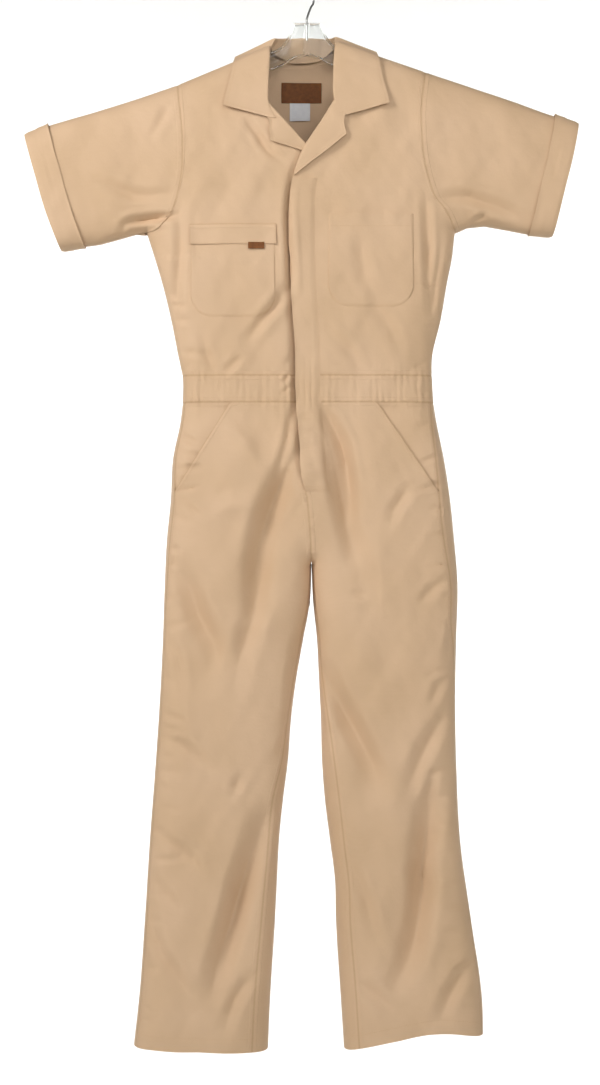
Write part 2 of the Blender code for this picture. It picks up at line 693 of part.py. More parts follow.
def chest_pieces(fronts, poplin, tan_leather):
    bag = patch("chest_pocket_right", rounded_pocket(CHEST_POCKET["right"]), poplin, [fronts["right"]])
    patch("chest_pocket_left", rounded_pocket(CHEST_POCKET["left"]), poplin, [fronts["left"]])
    patch("pocket_flap", rectangle(FLAP, 8, 3), poplin, [fronts["right"], bag])
    patch("pocket_tab", rectangle(TAB, 3, 2), tan_leather, [bag])


def strip_along_closing(high, low, rows):
    """A strip of the placket's width beside the closing edge."""
    heights = np.linspace(low, high, rows)
    edge = closing_edge(heights)
    return np.array([np.column_stack([np.linspace(a + 2 * SEAM_GAP, a + PLACKET_WIDTH, 4), np.full(4, z)])
                     for a, z in zip(edge, heights)])


def closing_strips(fronts, poplin):
    """The placket on the bodice and waistband, and the fly below the waist seam."""
    bodice, band, leg = fronts
    patch("placket", strip_along_closing(-0.3240, WAIST_BOTTOM + SEAM_GAP, 12), poplin, [bodice, band])
    patch("fly", strip_along_closing(WAIST_BOTTOM - SEAM_GAP, FLY_END + 0.004, 6), poplin, [leg])


LAPEL = {
    "right": {"roll": ((-0.0455, -0.2232), (-0.0040, -0.2672)),
              "edge": ((-0.0590, -0.2240), (-0.0606, -0.2474), (-0.0592, -0.2631), (-0.0085, -0.2775))},
    "left": {"roll": ((0.0350, -0.2150), (-0.0010, -0.2690), (-0.0195, -0.3140)),
             "edge": ((0.0515, -0.2190), (0.0634, -0.2523), (0.0308, -0.2793), (0.0059, -0.2974),
                      (-0.0180, -0.3160))},
}


def lapel(side, front, poplin):
    """The top of a front turned back along its roll line."""
    roll, edge = spread(LAPEL[side]["roll"], 7), spread(LAPEL[side]["edge"], 7)
    plan = coons(edge, roll, spread([edge[0], roll[0]], 4), spread([edge[-1], roll[-1]], 4))
    return patch(f"lapel_{side}", plan, poplin, [front])


# ---------------------------------------------------------------- collar

# Stations round the neck from the right front end, by the back, to the left front end. seam is where
# the collar meets the neck, fold the top of its roll, edge the outer edge of the leaf.
COLLAR = (
    {"on": FRONT, "seam": (-0.0500, -0.2250), "fold": (-0.0535, -0.2262), "edge": (-0.1347, -0.2057)},
    {"on": FRONT, "seam": (-0.0610, -0.1990), "fold": (-0.0640, -0.2010), "edge": (-0.1325, -0.1940)},
    {"on": FRONT, "seam": (-0.0625, -0.1650), "fold": (-0.0640, -0.1670), "edge": (-0.1270, -0.1700)},
    {"on": FRONT, "seam": (-0.0615, -0.1350), "fold": (-0.0625, -0.1300), "edge": (-0.1215, -0.1450)},
    {"on": FRONT, "seam": (-0.0612, -0.1220), "fold": (-0.0612, -0.1150), "edge": (-0.1200, -0.1380)},
    {"on": FRONT, "seam": (-0.0605, -0.1120), "fold": (-0.0590, -0.1010), "edge": (-0.1188, -0.1300)},
    {"on": 0, "seam": (-0.0590, -0.1030), "fold": (-0.0540, -0.0890), "edge": (-0.1165, -0.1180)},
    {"on": BACK, "seam": (-0.0580, -0.1040), "fold": (-0.0505, -0.0865), "edge": (-0.1150, -0.1275)},
    {"on": BACK, "seam": (-0.0560, -0.1070), "fold": (-0.0450, -0.0850), "edge": (-0.1060, -0.1400)},
    {"on": BACK, "seam": (-0.0330, -0.1210), "fold": (-0.0280, -0.0810), "edge": (-0.0680, -0.1590)},
    {"on": BACK, "seam": (-0.0060, -0.1220), "fold": (-0.0060, -0.0800), "edge": (-0.0060, -0.1650)},
    {"on": BACK, "seam": (0.0220, -0.1180), "fold": (0.0190, -0.0810), "edge": (0.0560, -0.1570)},
    {"on": BACK, "seam": (0.0440, -0.1020), "fold": (0.0390, -0.0840), "edge": (0.0980, -0.1340)},
    {"on": BACK, "seam": (0.0458, -0.0970), "fold": (0.0440, -0.0845), "edge": (0.1080, -0.1205)},
    {"on": 0, "seam": (0.0465, -0.0950), "fold": (0.0480, -0.0860), "edge": (0.1120, -0.1100)},
    {"on": FRONT, "seam": (0.0460, -0.1050), "fold": (0.0475, -0.0960), "edge": (0.1153, -0.1225)},
    {"on": FRONT, "seam": (0.0450, -0.1200), "fold": (0.0462, -0.1110), "edge": (0.1170, -0.1320)},
    {"on": FRONT, "seam": (0.0435, -0.1350), "fold": (0.0450, -0.1290), "edge": (0.1190, -0.1450)},
    {"on": FRONT, "seam": (0.0425, -0.1650), "fold": (0.0440, -0.1640), "edge": (0.1245, -0.1690)},
    {"on": FRONT, "seam": (0.0425, -0.1860), "fold": (0.0450, -0.1900), "edge": (0.1300, -0.1900)},
    {"on": FRONT, "seam": (0.0490, -0.2220), "fold": (0.0525, -0.2235), "edge": (0.1321, -0.2023)},
)
COLLAR_LIFT = 0.0044
SHOULDER_LIFT = 0.0040
ROLL_RADIUS = 0.0022


def collar_section(station, at_end):
    """Points from the neck seam up inside the stand, over the roll and down the leaf to its edge."""
    sheet = station["on"]
    (seam_x, seam_z), (fold_x, fold_z), (edge_x, edge_z) = (station[key] for key in ("seam", "fold", "edge"))
    seam_y = sheet * max(0.0, float(depth(seam_x, seam_z, sheet or FRONT)) - 0.004)
    fold_y = seam_y + 0.003 * (sheet == BACK)
    if sheet == FRONT:
        fold_y = -float(depth(fold_x, fold_z, FRONT)) - COLLAR_LIFT
    if at_end:
        seam_y = fold_y
    seam, fold = np.array([seam_x, seam_y, seam_z]), np.array([fold_x, fold_y, fold_z])
    edge = np.array([edge_x, sheet * (float(depth(edge_x, edge_z, sheet or FRONT)) + COLLAR_LIFT), edge_z])
    away = np.array([edge[0] - fold[0], 0.0 if sheet == FRONT else edge[1] - fold[1], 0])
    away /= np.linalg.norm(away)
    tight = fold - away * ROLL_RADIUS * 0.6 + (seam - fold) * 0.12
    points = [seam, seam + (fold - seam) * 0.55, (seam + 2 * fold) / 3 if at_end else tight, fold]
    for share in (0.08, 0.36, 0.68, 1.0):
        place = fold + (edge - fold) * share + away * ROLL_RADIUS * (1 - share)
        if sheet:
            below = column(TOP_LINE, "height", place[0], "across") - place[2]
            clear = float(depth(place[0], place[2], sheet)) + COLLAR_LIFT
            clear += SHOULDER_LIFT * max(0, 1 - below / 0.03)
            place[1] = sheet * max(sheet * place[1], clear)
        points.append(place)
    return points


def collar(poplin):
    last = len(COLLAR) - 1
    points = np.array([collar_section(station, k in (0, last)) for k, station in enumerate(COLLAR)])
    along = np.gradient(points, axis=0)
    across = np.gradient(points, axis=1)
    outward = np.cross(across, along)
    outward /= np.linalg.norm(outward, axis=-1, keepdims=True)
    return wall("collar", points, poplin, CLOTH / 2, -CLOTH / 2, outward)


# ---------------------------------------------------------------- labels inside the neck

NECK_LABEL = {"from": -0.0420, "to": 0.0240, "top": -0.1519, "foot": -0.1848}
CARE_LABEL = {"from": -0.0282, "to": 0.0052, "top": -0.1854, "foot": -0.2140}


def labels(back, leather, white_tape):
    """A main label and a care label, sewn to the inside of the back below the neck."""
    inside_skin = faces_of([back])[0]
    for name, box, made_of in (("neck_label", NECK_LABEL, leather), ("care_label", CARE_LABEL, white_tape)):
        plan = rectangle(box, 5, 4)
        points = np.zeros(plan.shape[:2] + (3,))
        for spot in np.ndindex(plan.shape[:2]):
            x, z = plan[spot]
            points[spot] = inside_skin.ray_cast(Vector((x, 0, z)), Vector((0, 1, 0)))[0]
        outward = np.zeros_like(points)
        outward[..., 1] = 1
        wall(name, points, made_of, -LIFT, -LIFT - CLOTH, outward)


# ---------------------------------------------------------------- hanger

HANGER_DEPTH = 0.010
WEB = 0.0024
RIM = 0.0028
RIB = 0.0096
HUB_TOP = -0.0630
HUB_FOOT = -0.1150
# Each side of the hanger from the top of the hub, out along the arm and back under it.
HANGER_SIDE = {
    "right": ((-0.0215, -0.0630), (-0.0240, -0.0680), (-0.0303, -0.0850), (-0.0394, -0.0990),
              (-0.0500, -0.1070), (-0.0700, -0.1130), (-0.1255, -0.1330), (-0.1750, -0.1535),
              (-0.1960, -0.1640), (-0.1990, -0.1690), (-0.1950, -0.1730), (-0.1700, -0.1680),
              (-0.1250, -0.1540), (-0.0531, -0.1375), (-0.0200, -0.1200)),
    "left": ((0.0215, -0.0630), (0.0245, -0.0690), (0.0326, -0.0863), (0.0400, -0.0960),
             (0.0500, -0.1030), (0.0700, -0.1080), (0.1200, -0.1222), (0.1600, -0.1360),
             (0.1790, -0.1440), (0.1820, -0.1490), (0.1780, -0.1530), (0.1550, -0.1495),
             (0.1100, -0.1420), (0.0473, -0.1330), (0.0180, -0.1200)),
}


def prism(name, outline, near, far, made_of):
    """A solid with this (x, z) outline between two values of y."""
    count = len(outline)
    points = [(x, near, z) for x, z in outline] + [(x, far, z) for x, z in outline]
    faces = [tuple(range(count)), tuple(reversed(range(count, 2 * count)))]
    faces += [(k, count + k, count + (k + 1) % count, (k + 1) % count) for k in range(count)]
    thing = new_object(name, points, faces, made_of)
    shell = bmesh.new()
    shell.from_mesh(thing.data)
    bmesh.ops.recalc_face_normals(shell, faces=shell.faces)
    shell.to_mesh(thing.data)
    shell.free()
    return thing


def inset(outline, distance):
    """The same closed outline drawn in by a distance, corner by corner."""
    outline = np.array(outline)
    ahead = np.roll(outline, -1, axis=0) - outline
    area = np.sum(outline[:, 0] * np.roll(outline[:, 1], -1) - np.roll(outline[:, 0], -1) * outline[:, 1])
    ahead /= np.linalg.norm(ahead, axis=1, keepdims=True) * math.copysign(1, area)
    behind = np.roll(ahead, 1, axis=0)
    inward = np.column_stack([-(ahead + behind)[:, 1], (ahead + behind)[:, 0]])
    inward /= np.linalg.norm(inward, axis=1, keepdims=True)
    square_on = np.einsum("ij,ij->i", inward, np.column_stack([-ahead[:, 1], ahead[:, 0]]))
    return outline + inward * (distance / np.maximum(square_on, 0.5))[:, None]


def hanger(clear):
    """An I-beam of clear plastic: a thin web inside a deeper rim, and a middle rib for the hook."""
    outline = ([(0.0, HUB_TOP)] + list(HANGER_SIDE["left"]) + [(0.0, HUB_FOOT)]
               + list(HANGER_SIDE["right"])[::-1])
    body = prism("hanger", outline, -HANGER_DEPTH / 2, HANGER_DEPTH / 2, clear)
    for side, toward in (("right", -1), ("left", 1)):
        start = toward * (RIB / 2 - RIM)
        half = [(start, HUB_TOP)] + list(HANGER_SIDE[side]) + [(start, HUB_FOOT)]
        for face in (FRONT, BACK):
            cut(body, prism(f"recess_{side}_{face + 1}", inset(half, RIM),
                            face * WEB / 2, face * HANGER_DEPTH, clear))
    cut(body, rod("hook_hole", HOLE_RADIUS, HUB_TOP - HOOK_IN - 0.0005, HUB_TOP + 0.002, clear))
    return body


def rod(name, radius, low, high, made_of, sides=12):
    """An upright round rod on the hanger's middle."""
    ring = [(radius * math.cos(2 * math.pi * k / sides), radius * math.sin(2 * math.pi * k / sides))
            for k in range(sides)]
    points = [(x, y, low) for x, y in ring] + [(x, y, high) for x, y in ring]
    faces = [(k, (k + 1) % sides, sides + (k + 1) % sides, sides + k) for k in range(sides)]
    faces += [tuple(reversed(range(sides))), tuple(range(sides, 2 * sides))]
    return new_object(name, points, faces, made_of)


def cut(body, tool):
    tool.hide_render = True
    tool.display_type = "WIRE"
    step = body.modifiers.new(tool.name, "BOOLEAN")
    step.operation = "DIFFERENCE"
    step.object = tool
    step.solver = "EXACT"


WIRE_RADIUS = 0.0019
HOLE_RADIUS = 0.0024
HOOK_IN = 0.028
HOOK_RADIUS = 0.0200
HOOK_TURN = math.radians(55)


def hook(steel):
    """The steel hook: a stem out of the hub, out to one side and over in a half circle to its tip."""
    centre = WIRE_RADIUS - HOOK_RADIUS
    sweep = np.radians(np.linspace(-55, 195, 15))
    bend = [(HOOK_RADIUS * math.cos(a), centre + HOOK_RADIUS * math.sin(a)) for a in sweep]
    stem = [(0.0, HUB_TOP - HOOK_IN), (0.0, HUB_TOP), (0.0, HUB_TOP + 0.008)]
    path = joined(np.array(stem[:2]), curve([stem[1], stem[2]] + bend, 26))
    wire = bpy.data.curves.new("hook", "CURVE")
    wire.dimensions = "3D"
    wire.bevel_depth = WIRE_RADIUS
    wire.bevel_resolution = 2
    wire.use_fill_caps = True
    spline = wire.splines.new("POLY")
    spline.points.add(len(path) - 1)
    for point, (out, up) in zip(spline.points, path):
        point.co = (out * math.cos(HOOK_TURN), out * math.sin(HOOK_TURN), up, 1)
    thing = bpy.data.objects.new("hook", wire)
    thing.data.materials.append(steel)
    bpy.context.scene.collection.objects.link(thing)
    return thing


# ---------------------------------------------------------------- the whole suit


def build():
    for thing in list(bpy.data.objects):
        bpy.data.objects.remove(thing)
    poplin = material("tan_poplin", (0.66, 0.46, 0.29), 0.85)
    leather = material("brown_leather_look", (0.16, 0.045, 0.012), 0.6)
    white_tape = material("white_tape", (0.78, 0.78, 0.76), 0.7)
    clear = material("clear_plastic", (0.92, 0.93, 0.92), 0.08, transmission=0.9)
    steel = material("plated_steel", (0.62, 0.62, 0.62), 0.25, metallic=1.0)
    fronts, leg_fronts, bands = {}, {}, waistband(poplin)
    for side in ("right", "left"):
        fronts[side] = front_panel(side, poplin)
        lapel(side, fronts[side], poplin)
        sleeve(side, poplin)
        leg_fronts[side] = leg_panel(side, FRONT, poplin)
        leg_panel(side, BACK, poplin)
        pocket_facing(side, poplin)
    closing_strips((fronts["left"], bands["left"], leg_fronts["left"]), poplin)
    chest_pieces(fronts, poplin, leather)
    collar(poplin)
    labels(back_panel(poplin), leather, white_tape)
    hanger(clear)
    hook(steel)


build()
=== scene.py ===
"""The looks of a short-sleeved boiler suit in tan poplin, hung on a clear hanger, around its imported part.

Metres, +Z up, the wearer facing -Y. right and left are the wearer's.
"""

import math

import bmesh
import bpy
import numpy as np
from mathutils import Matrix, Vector


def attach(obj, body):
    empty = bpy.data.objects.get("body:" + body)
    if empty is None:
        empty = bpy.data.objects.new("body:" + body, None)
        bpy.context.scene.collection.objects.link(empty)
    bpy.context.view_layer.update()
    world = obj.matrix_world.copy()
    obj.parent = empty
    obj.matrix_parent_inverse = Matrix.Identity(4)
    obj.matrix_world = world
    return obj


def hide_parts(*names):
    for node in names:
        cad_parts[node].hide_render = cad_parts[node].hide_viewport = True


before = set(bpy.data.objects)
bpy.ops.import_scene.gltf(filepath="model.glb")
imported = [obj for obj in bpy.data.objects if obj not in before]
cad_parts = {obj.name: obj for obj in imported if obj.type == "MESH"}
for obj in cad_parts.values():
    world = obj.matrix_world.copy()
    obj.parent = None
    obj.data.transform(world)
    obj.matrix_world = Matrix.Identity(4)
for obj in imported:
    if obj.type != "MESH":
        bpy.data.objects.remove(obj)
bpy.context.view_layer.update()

# ---------------------------------------------------------------- The poplin
# Poly-cotton poplin, plain woven, piece dyed tan and pressed. It gives the eye a dry, even colour
# with a faint crosswise rib, a soft sheen on the folds, and puckered lines along its seams, where a painted
# shade darkens the cloth.

TAN, TAN_DEEP, TAN_PALE = "#D3B290", "#CFAE8B", "#D7B695"
RIB_PITCH = 0.0011  # the real thread is 0.3 mm apart, too fine to show, so it is drawn coarser
CLOUD, SLUB, CRUMPLE, FINE_CRUMPLE = 0.140, 0.004, 0.030, 0.011


def paint(colour):
    """An sRGB hex colour as a linear one."""
    parts = np.array([int(colour[k:k + 2], 16) / 255 for k in (1, 3, 5)])
    linear = np.where(parts <= 0.04045, parts / 12.92, ((parts + 0.055) / 1.055) ** 2.4)
    return (*linear.tolist(), 1.0)


def add(tree, kind, inputs=None, **settings):
    """A node with its settings, and each input given a value or linked to another node's output."""
    made = tree.nodes.new(kind)
    for name, value in settings.items():
        setattr(made, name, value)
    for name, value in (inputs or {}).items():
        if isinstance(value, bpy.types.NodeSocket):
            tree.links.new(value, made.inputs[name])
        else:
            made.inputs[name].default_value = value
    return made


def new_material(name, **sockets):
    """A material with its shader's own sockets set. Returns it, its node tree and its shader."""
    made = bpy.data.materials.new(name)
    made.use_nodes = True
    shader = made.node_tree.nodes["Principled BSDF"]
    for socket, value in sockets.items():
        shader.inputs[socket.replace("_", " ")].default_value = value
    return made, made.node_tree, shader


def woven(name, colours, painted_seam_shade_colour, roughness=0.66):
    """Poplin in three near shades, with painted shade along its sewn edges. The cloth's own map, in metres,
    carries the threads.
    """
    made, tree, shader = new_material(name, Roughness=roughness, Sheen_Weight=0.05, Sheen_Roughness=0.45,
                                      Specular_IOR_Level=0.30)
    deep, middle, pale = (paint(colour) for colour in colours)
    cloth_map = add(tree, "ShaderNodeUVMap", uv_map="weave").outputs["UV"]
    place = add(tree, "ShaderNodeTexCoord").outputs["Object"]
    seam = add(tree, "ShaderNodeAttribute", attribute_name="seam").outputs["Fac"]

    cloud = add(tree, "ShaderNodeTexNoise", {"Vector": place, "Scale": 1 / CLOUD, "Detail": 2.0})
    slub_map = add(tree, "ShaderNodeMapping", {"Vector": cloth_map, "Scale": (0.12, 1.0, 1.0)})
    slub = add(tree, "ShaderNodeTexNoise", {"Vector": slub_map.outputs["Vector"], "Scale": 1 / SLUB})
    spread_of = add(tree, "ShaderNodeMapRange",
                    {"Value": cloud.outputs["Fac"], "From Min": 0.35, "From Max": 0.65})
    shade = add(tree, "ShaderNodeMix", {"Factor": spread_of.outputs["Result"], "A": deep, "B": pale},
                data_type="RGBA")
    threads = add(tree, "ShaderNodeMapRange", {"Value": slub.outputs["Fac"], "From Min": 0.3,
                                               "From Max": 0.7, "To Min": 0.0, "To Max": 0.35})
    dyed = add(tree, "ShaderNodeMix",
               {"Factor": threads.outputs["Result"], "A": shade.outputs[2], "B": middle}, data_type="RGBA")
    # Painted shade: within about 2 mm of a sewn edge the cloth is mixed toward the deeper seam colour,
    # standing in for the shade in the seam's groove.
    painted_seam_shade = add(tree, "ShaderNodeMapRange",
                    {"Value": seam, "From Min": 0.0006, "From Max": 0.0024, "To Min": 0.30, "To Max": 0.0},
                    interpolation_type="SMOOTHSTEP")
    painted_seam_shaded = add(tree, "ShaderNodeMix", {"Factor": painted_seam_shade.outputs["Result"], "A": dyed.outputs[2],
                                         "B": paint(painted_seam_shade_colour)}, data_type="RGBA")
    tree.links.new(painted_seam_shaded.outputs[2], shader.inputs["Base Color"])

    wave_scale = 2 * math.pi / (20 * RIB_PITCH)
    weft = add(tree, "ShaderNodeTexWave", {"Vector": cloth_map, "Scale": wave_scale}, bands_direction="Y")
    warp = add(tree, "ShaderNodeTexWave", {"Vector": cloth_map, "Scale": wave_scale}, bands_direction="X")
    rib = add(tree, "ShaderNodeMath", {0: weft.outputs["Fac"], 1: warp.outputs["Fac"]}, operation="ADD")
    weave_bump = add(tree, "ShaderNodeBump",
                     {"Height": rib.outputs[0], "Distance": 0.00003, "Strength": 0.8})
    crumple = add(tree, "ShaderNodeTexNoise", {"Vector": place, "Scale": 1 / CRUMPLE, "Detail": 3.0})
    crumple_bump = add(tree, "ShaderNodeBump", {"Height": crumple.outputs["Fac"], "Distance": 0.0022,
                                                "Strength": 0.5, "Normal": weave_bump.outputs["Normal"]})
    # Sewing draws the cloth in, so it puckers within a centimetre of every seam.
    pucker_map = add(tree, "ShaderNodeTexNoise",
                     {"Vector": cloth_map, "Scale": 1 / FINE_CRUMPLE, "Detail": 2.0})
    drawn_in = add(tree, "ShaderNodeMapRange",
                   {"Value": seam, "From Min": 0.0, "From Max": 0.016, "To Min": 1.0, "To Max": 0.12},
                   interpolation_type="SMOOTHSTEP")
    pucker = add(tree, "ShaderNodeMath", {0: pucker_map.outputs["Fac"], 1: drawn_in.outputs["Result"]},
                 operation="MULTIPLY")
    pucker_bump = add(tree, "ShaderNodeBump", {"Height": pucker.outputs[0], "Distance": 0.0016,
                                               "Strength": 0.7, "Normal": crumple_bump.outputs["Normal"]})
    # The felled seam is a flat ridge 7 mm wide with a sewn furrow inside each edge.
    rise = add(tree, "ShaderNodeMapRange",
               {"Value": seam, "From Min": 0.0068, "From Max": 0.0080, "To Min": 1.0, "To Max": 0.0},
               interpolation_type="SMOOTHSTEP")
    ridge_bump = add(tree, "ShaderNodeBump", {"Height": rise.outputs["Result"], "Distance": 0.0004,
                                              "Strength": 0.8, "Normal": pucker_bump.outputs["Normal"]})
    tree.links.new(ridge_bump.outputs["Normal"], shader.inputs["Normal"])
    return made


# A98157 is the colour of the painted shade along the seams.
poplin = woven("poly_cotton_poplin_woven", (TAN_DEEP, TAN, TAN_PALE), "#A98157")

# ---------------------------------------------------------------- How the suit hangs
# The suit is two sheets of cloth, front and back, that meet in a rounded fold along the outline and
# are pressed nearly flat. Every panel, pocket and strip below is cut from these two sheets.

CLOTH, LIFT = 0.0009, 0.0005
FRONT, BACK = -1, 1
BODY = {
    "height": (-0.4060, -0.4483, -0.4809, -0.5461, -0.6113, -0.6439, -0.6765, -0.7091, -0.7743, -0.8395,
               -0.9047, -0.9700, -1.0677, -1.1655, -1.2633, -1.3937, -1.5241, -1.6545, -1.7310),
    "right": (-0.2611, -0.2478, -0.2380, -0.2217, -0.2086, -0.2021, -0.2021, -0.2054, -0.2184, -0.2217,
              -0.2282, -0.2314, -0.2347, -0.2396, -0.2461, -0.2559, -0.2641, -0.2738, -0.2825),
    "left": (0.2412, 0.2364, 0.2298, 0.2184, 0.2037, 0.2037, 0.2054, 0.2103, 0.2233, 0.2331,
             0.2396, 0.2450, 0.2429, 0.2412, 0.2429, 0.2494, 0.2673, 0.2853, 0.2869),
}
CROTCH = (0.0072, -0.9450)
INNER_LEG = {
    "height": (-0.9450, -1.0025, -1.0677, -1.1329, -1.1981, -1.2633, -1.3285, -1.3937, -1.4589, -1.5241,
               -1.6545, -1.7310),
    "right": (0.0072, 0.0049, -0.0065, -0.0179, -0.0261, -0.0310, -0.0391, -0.0456, -0.0489, -0.0522,
              -0.0603, -0.0636),
    "left": (0.0072, 0.0098, 0.0163, 0.0196, 0.0228, 0.0244, 0.0293, 0.0375, 0.0456, 0.0473,
             0.0554, 0.0603),
}
# How full the cloth hangs: the most that each sheet stands off the middle plane.
FULLNESS = {
    "height": (-0.060, -0.250, -0.400, -0.550, -0.660, -0.780, -0.900, -1.150, -1.450, -1.731),
    "front": (0.046, 0.050, 0.052, 0.048, 0.044, 0.062, 0.068, 0.066, 0.062, 0.064),
    "back": (0.046, 0.052, 0.054, 0.048, 0.044, 0.064, 0.072, 0.068, 0.062, 0.064),
}
SLEEVE_FULLNESS = 0.044

# Shoulder and sleeve outlines, from the neck point out to the cuff's fold.
NECK_POINT = {"right": (-0.0640, -0.1035), "left": (0.0520, -0.0950)}
SHOULDER_TIP = {"right": (-0.2108, -0.1647), "left": (0.1923, -0.1435)}
NECK_DIP = 0.0245
TOP_LINE = {
    "across": (-0.4580, -0.4189, -0.3456, -0.2722, -0.2108, -0.0640, 0.0520, 0.1923, 0.2657, 0.3390,
               0.3879, 0.4400),
    "height": (-0.2446, -0.2299, -0.2087, -0.1859, -0.1647, -0.1035, -0.0950, -0.1435, -0.1679, -0.1924,
               -0.2103, -0.2266),
}
UNDERARM = {
    "right": ((-0.2611, -0.4071), (-0.2771, -0.4070), (-0.3015, -0.4141), (-0.3374, -0.4239),
              (-0.3619, -0.4271), (-0.3984, -0.4336)),
    "left": ((0.2412, -0.4053), (0.2608, -0.3970), (0.2895, -0.3940), (0.3286, -0.4010),
             (0.3570, -0.4066), (0.3977, -0.4105)),
}
CUFF_FOLD = {
    "right": ((-0.4580, -0.2446), (-0.4385, -0.3122), (-0.4212, -0.3717), (-0.3984, -0.4336)),
    "left": ((0.4400, -0.2266), (0.4271, -0.2886), (0.4140, -0.3407), (0.3977, -0.4105)),
}
CUFF_WIDTH = 0.0385
ARMHOLE = {
    "right": ((-0.2108, -0.1647), (-0.2022, -0.2397), (-0.2009, -0.2784), (-0.2022, -0.3122),
              (-0.2095, -0.3492), (-0.2207, -0.3798), (-0.2398, -0.4000), (-0.2611, -0.4071)),
    "left": ((0.1923, -0.1435), (0.1850, -0.2006), (0.1844, -0.2391), (0.1894, -0.2929),
             (0.2048, -0.3471), (0.2253, -0.3742), (0.2412, -0.4053)),
}

# Waist seams, the closing edge of the left front, and the seams of the legs.
WAIST_TOP = -0.6387
WAIST_BOTTOM = -0.6821
CLOSING_EDGE = {
    "height": (-0.2690, -0.3187, -0.3750, -0.4232, -0.5195, -0.5917, -0.6688, -0.7541, -0.8102, -0.8294),
    "across": (-0.0019, -0.0222, -0.0275, -0.0275, -0.0243, -0.0194, -0.0178, -0.0114, -0.0066, -0.0018),
}
FLY_END = -0.8310
UNDERLAP = 0.036
PLACKET_WIDTH = 0.040
CENTRE_SEAM = {"height": (-0.8310, -0.9144, -0.9450), "across": (-0.0002, 0.0062, 0.0072)}
# How far round toward the front each seam has come, from the outline.
SIDE_SEAM = {
    "height": (-0.6821, -0.7755, -0.8846, -0.9371, -0.9726, -1.0388, -1.0760, -1.1244, -1.7310),
    "right": (0.0040, 0.0060, 0.0070, 0.0060, 0.0050, 0.0040, 0.0040, 0.0040, 0.0040),
    "left": (0.0060, 0.0157, 0.0200, 0.0170, 0.0140, 0.0115, 0.0064, 0.0040, 0.0040),
}
INSEAM = {
    "height": (-0.9450, -1.0000, -1.1200, -1.1850, -1.2550, -1.3300, -1.4000, -1.5000, -1.6000, -1.7310),
    "right": (0.0010, 0.0030, 0.0040, 0.0050, 0.0090, 0.0170, 0.0170, 0.0210, 0.0240, 0.0250),
    "left": (0.0010, 0.0030, 0.0050, 0.0105, 0.0190, 0.0230, 0.0220, 0.0220, 0.0240, 0.0240),
}
HEM_BASE = -1.7310
HEM = {
    "right": ((-0.2825, -1.7243), (-0.1711, -1.7283), (-0.0636, -1.7310)),
    "left": ((0.0603, -1.7305), (0.1630, -1.7058), (0.2205, -1.6981), (0.2869, -1.7067)),
}

# Large folds that the hanging cloth falls into: a soft trough (negative) or ridge from one end
# to the other. width is where it has fallen to about a third of its height.
FRONT_FOLDS = (
    {"start": (-0.028, -0.790), "end": (-0.095, -1.040), "width": 0.028, "height": -0.0090},
    {"start": (0.045, -0.700), "end": (0.088, -1.000), "width": 0.028, "height": -0.0080},
    {"start": (-0.220, -0.930), "end": (-0.135, -1.150), "width": 0.030, "height": -0.0070},
    {"start": (0.024, -1.100), "end": (0.120, -1.330), "width": 0.028, "height": -0.0080},
    {"start": (0.205, -1.270), "end": (0.140, -1.650), "width": 0.028, "height": -0.0080},
    {"start": (-0.060, -1.330), "end": (-0.155, -1.680), "width": 0.028, "height": -0.0090},
)
BACK_FOLDS = (
    {"start": (-0.120, -0.200), "end": (-0.110, -0.600), "width": 0.030, "height": -0.0060},
    {"start": (0.115, -0.190), "end": (0.120, -0.600), "width": 0.030, "height": -0.0060},
    {"start": (-0.020, -0.860), "end": (-0.110, -1.180), "width": 0.030, "height": -0.0100},
    {"start": (0.022, -0.860), "end": (0.105, -1.180), "width": 0.030, "height": -0.0100},
    {"start": (-0.200, -1.250), "end": (-0.140, -1.600), "width": 0.028, "height": -0.0070},
    {"start": (0.200, -1.250), "end": (0.150, -1.600), "width": 0.028, "height": -0.0070},
)


def crease(width, height, *along):
    """One crease: where it has fallen to about a third, how far it moves the cloth, and its places."""
    return {"width": width, "height": height, "along": along}


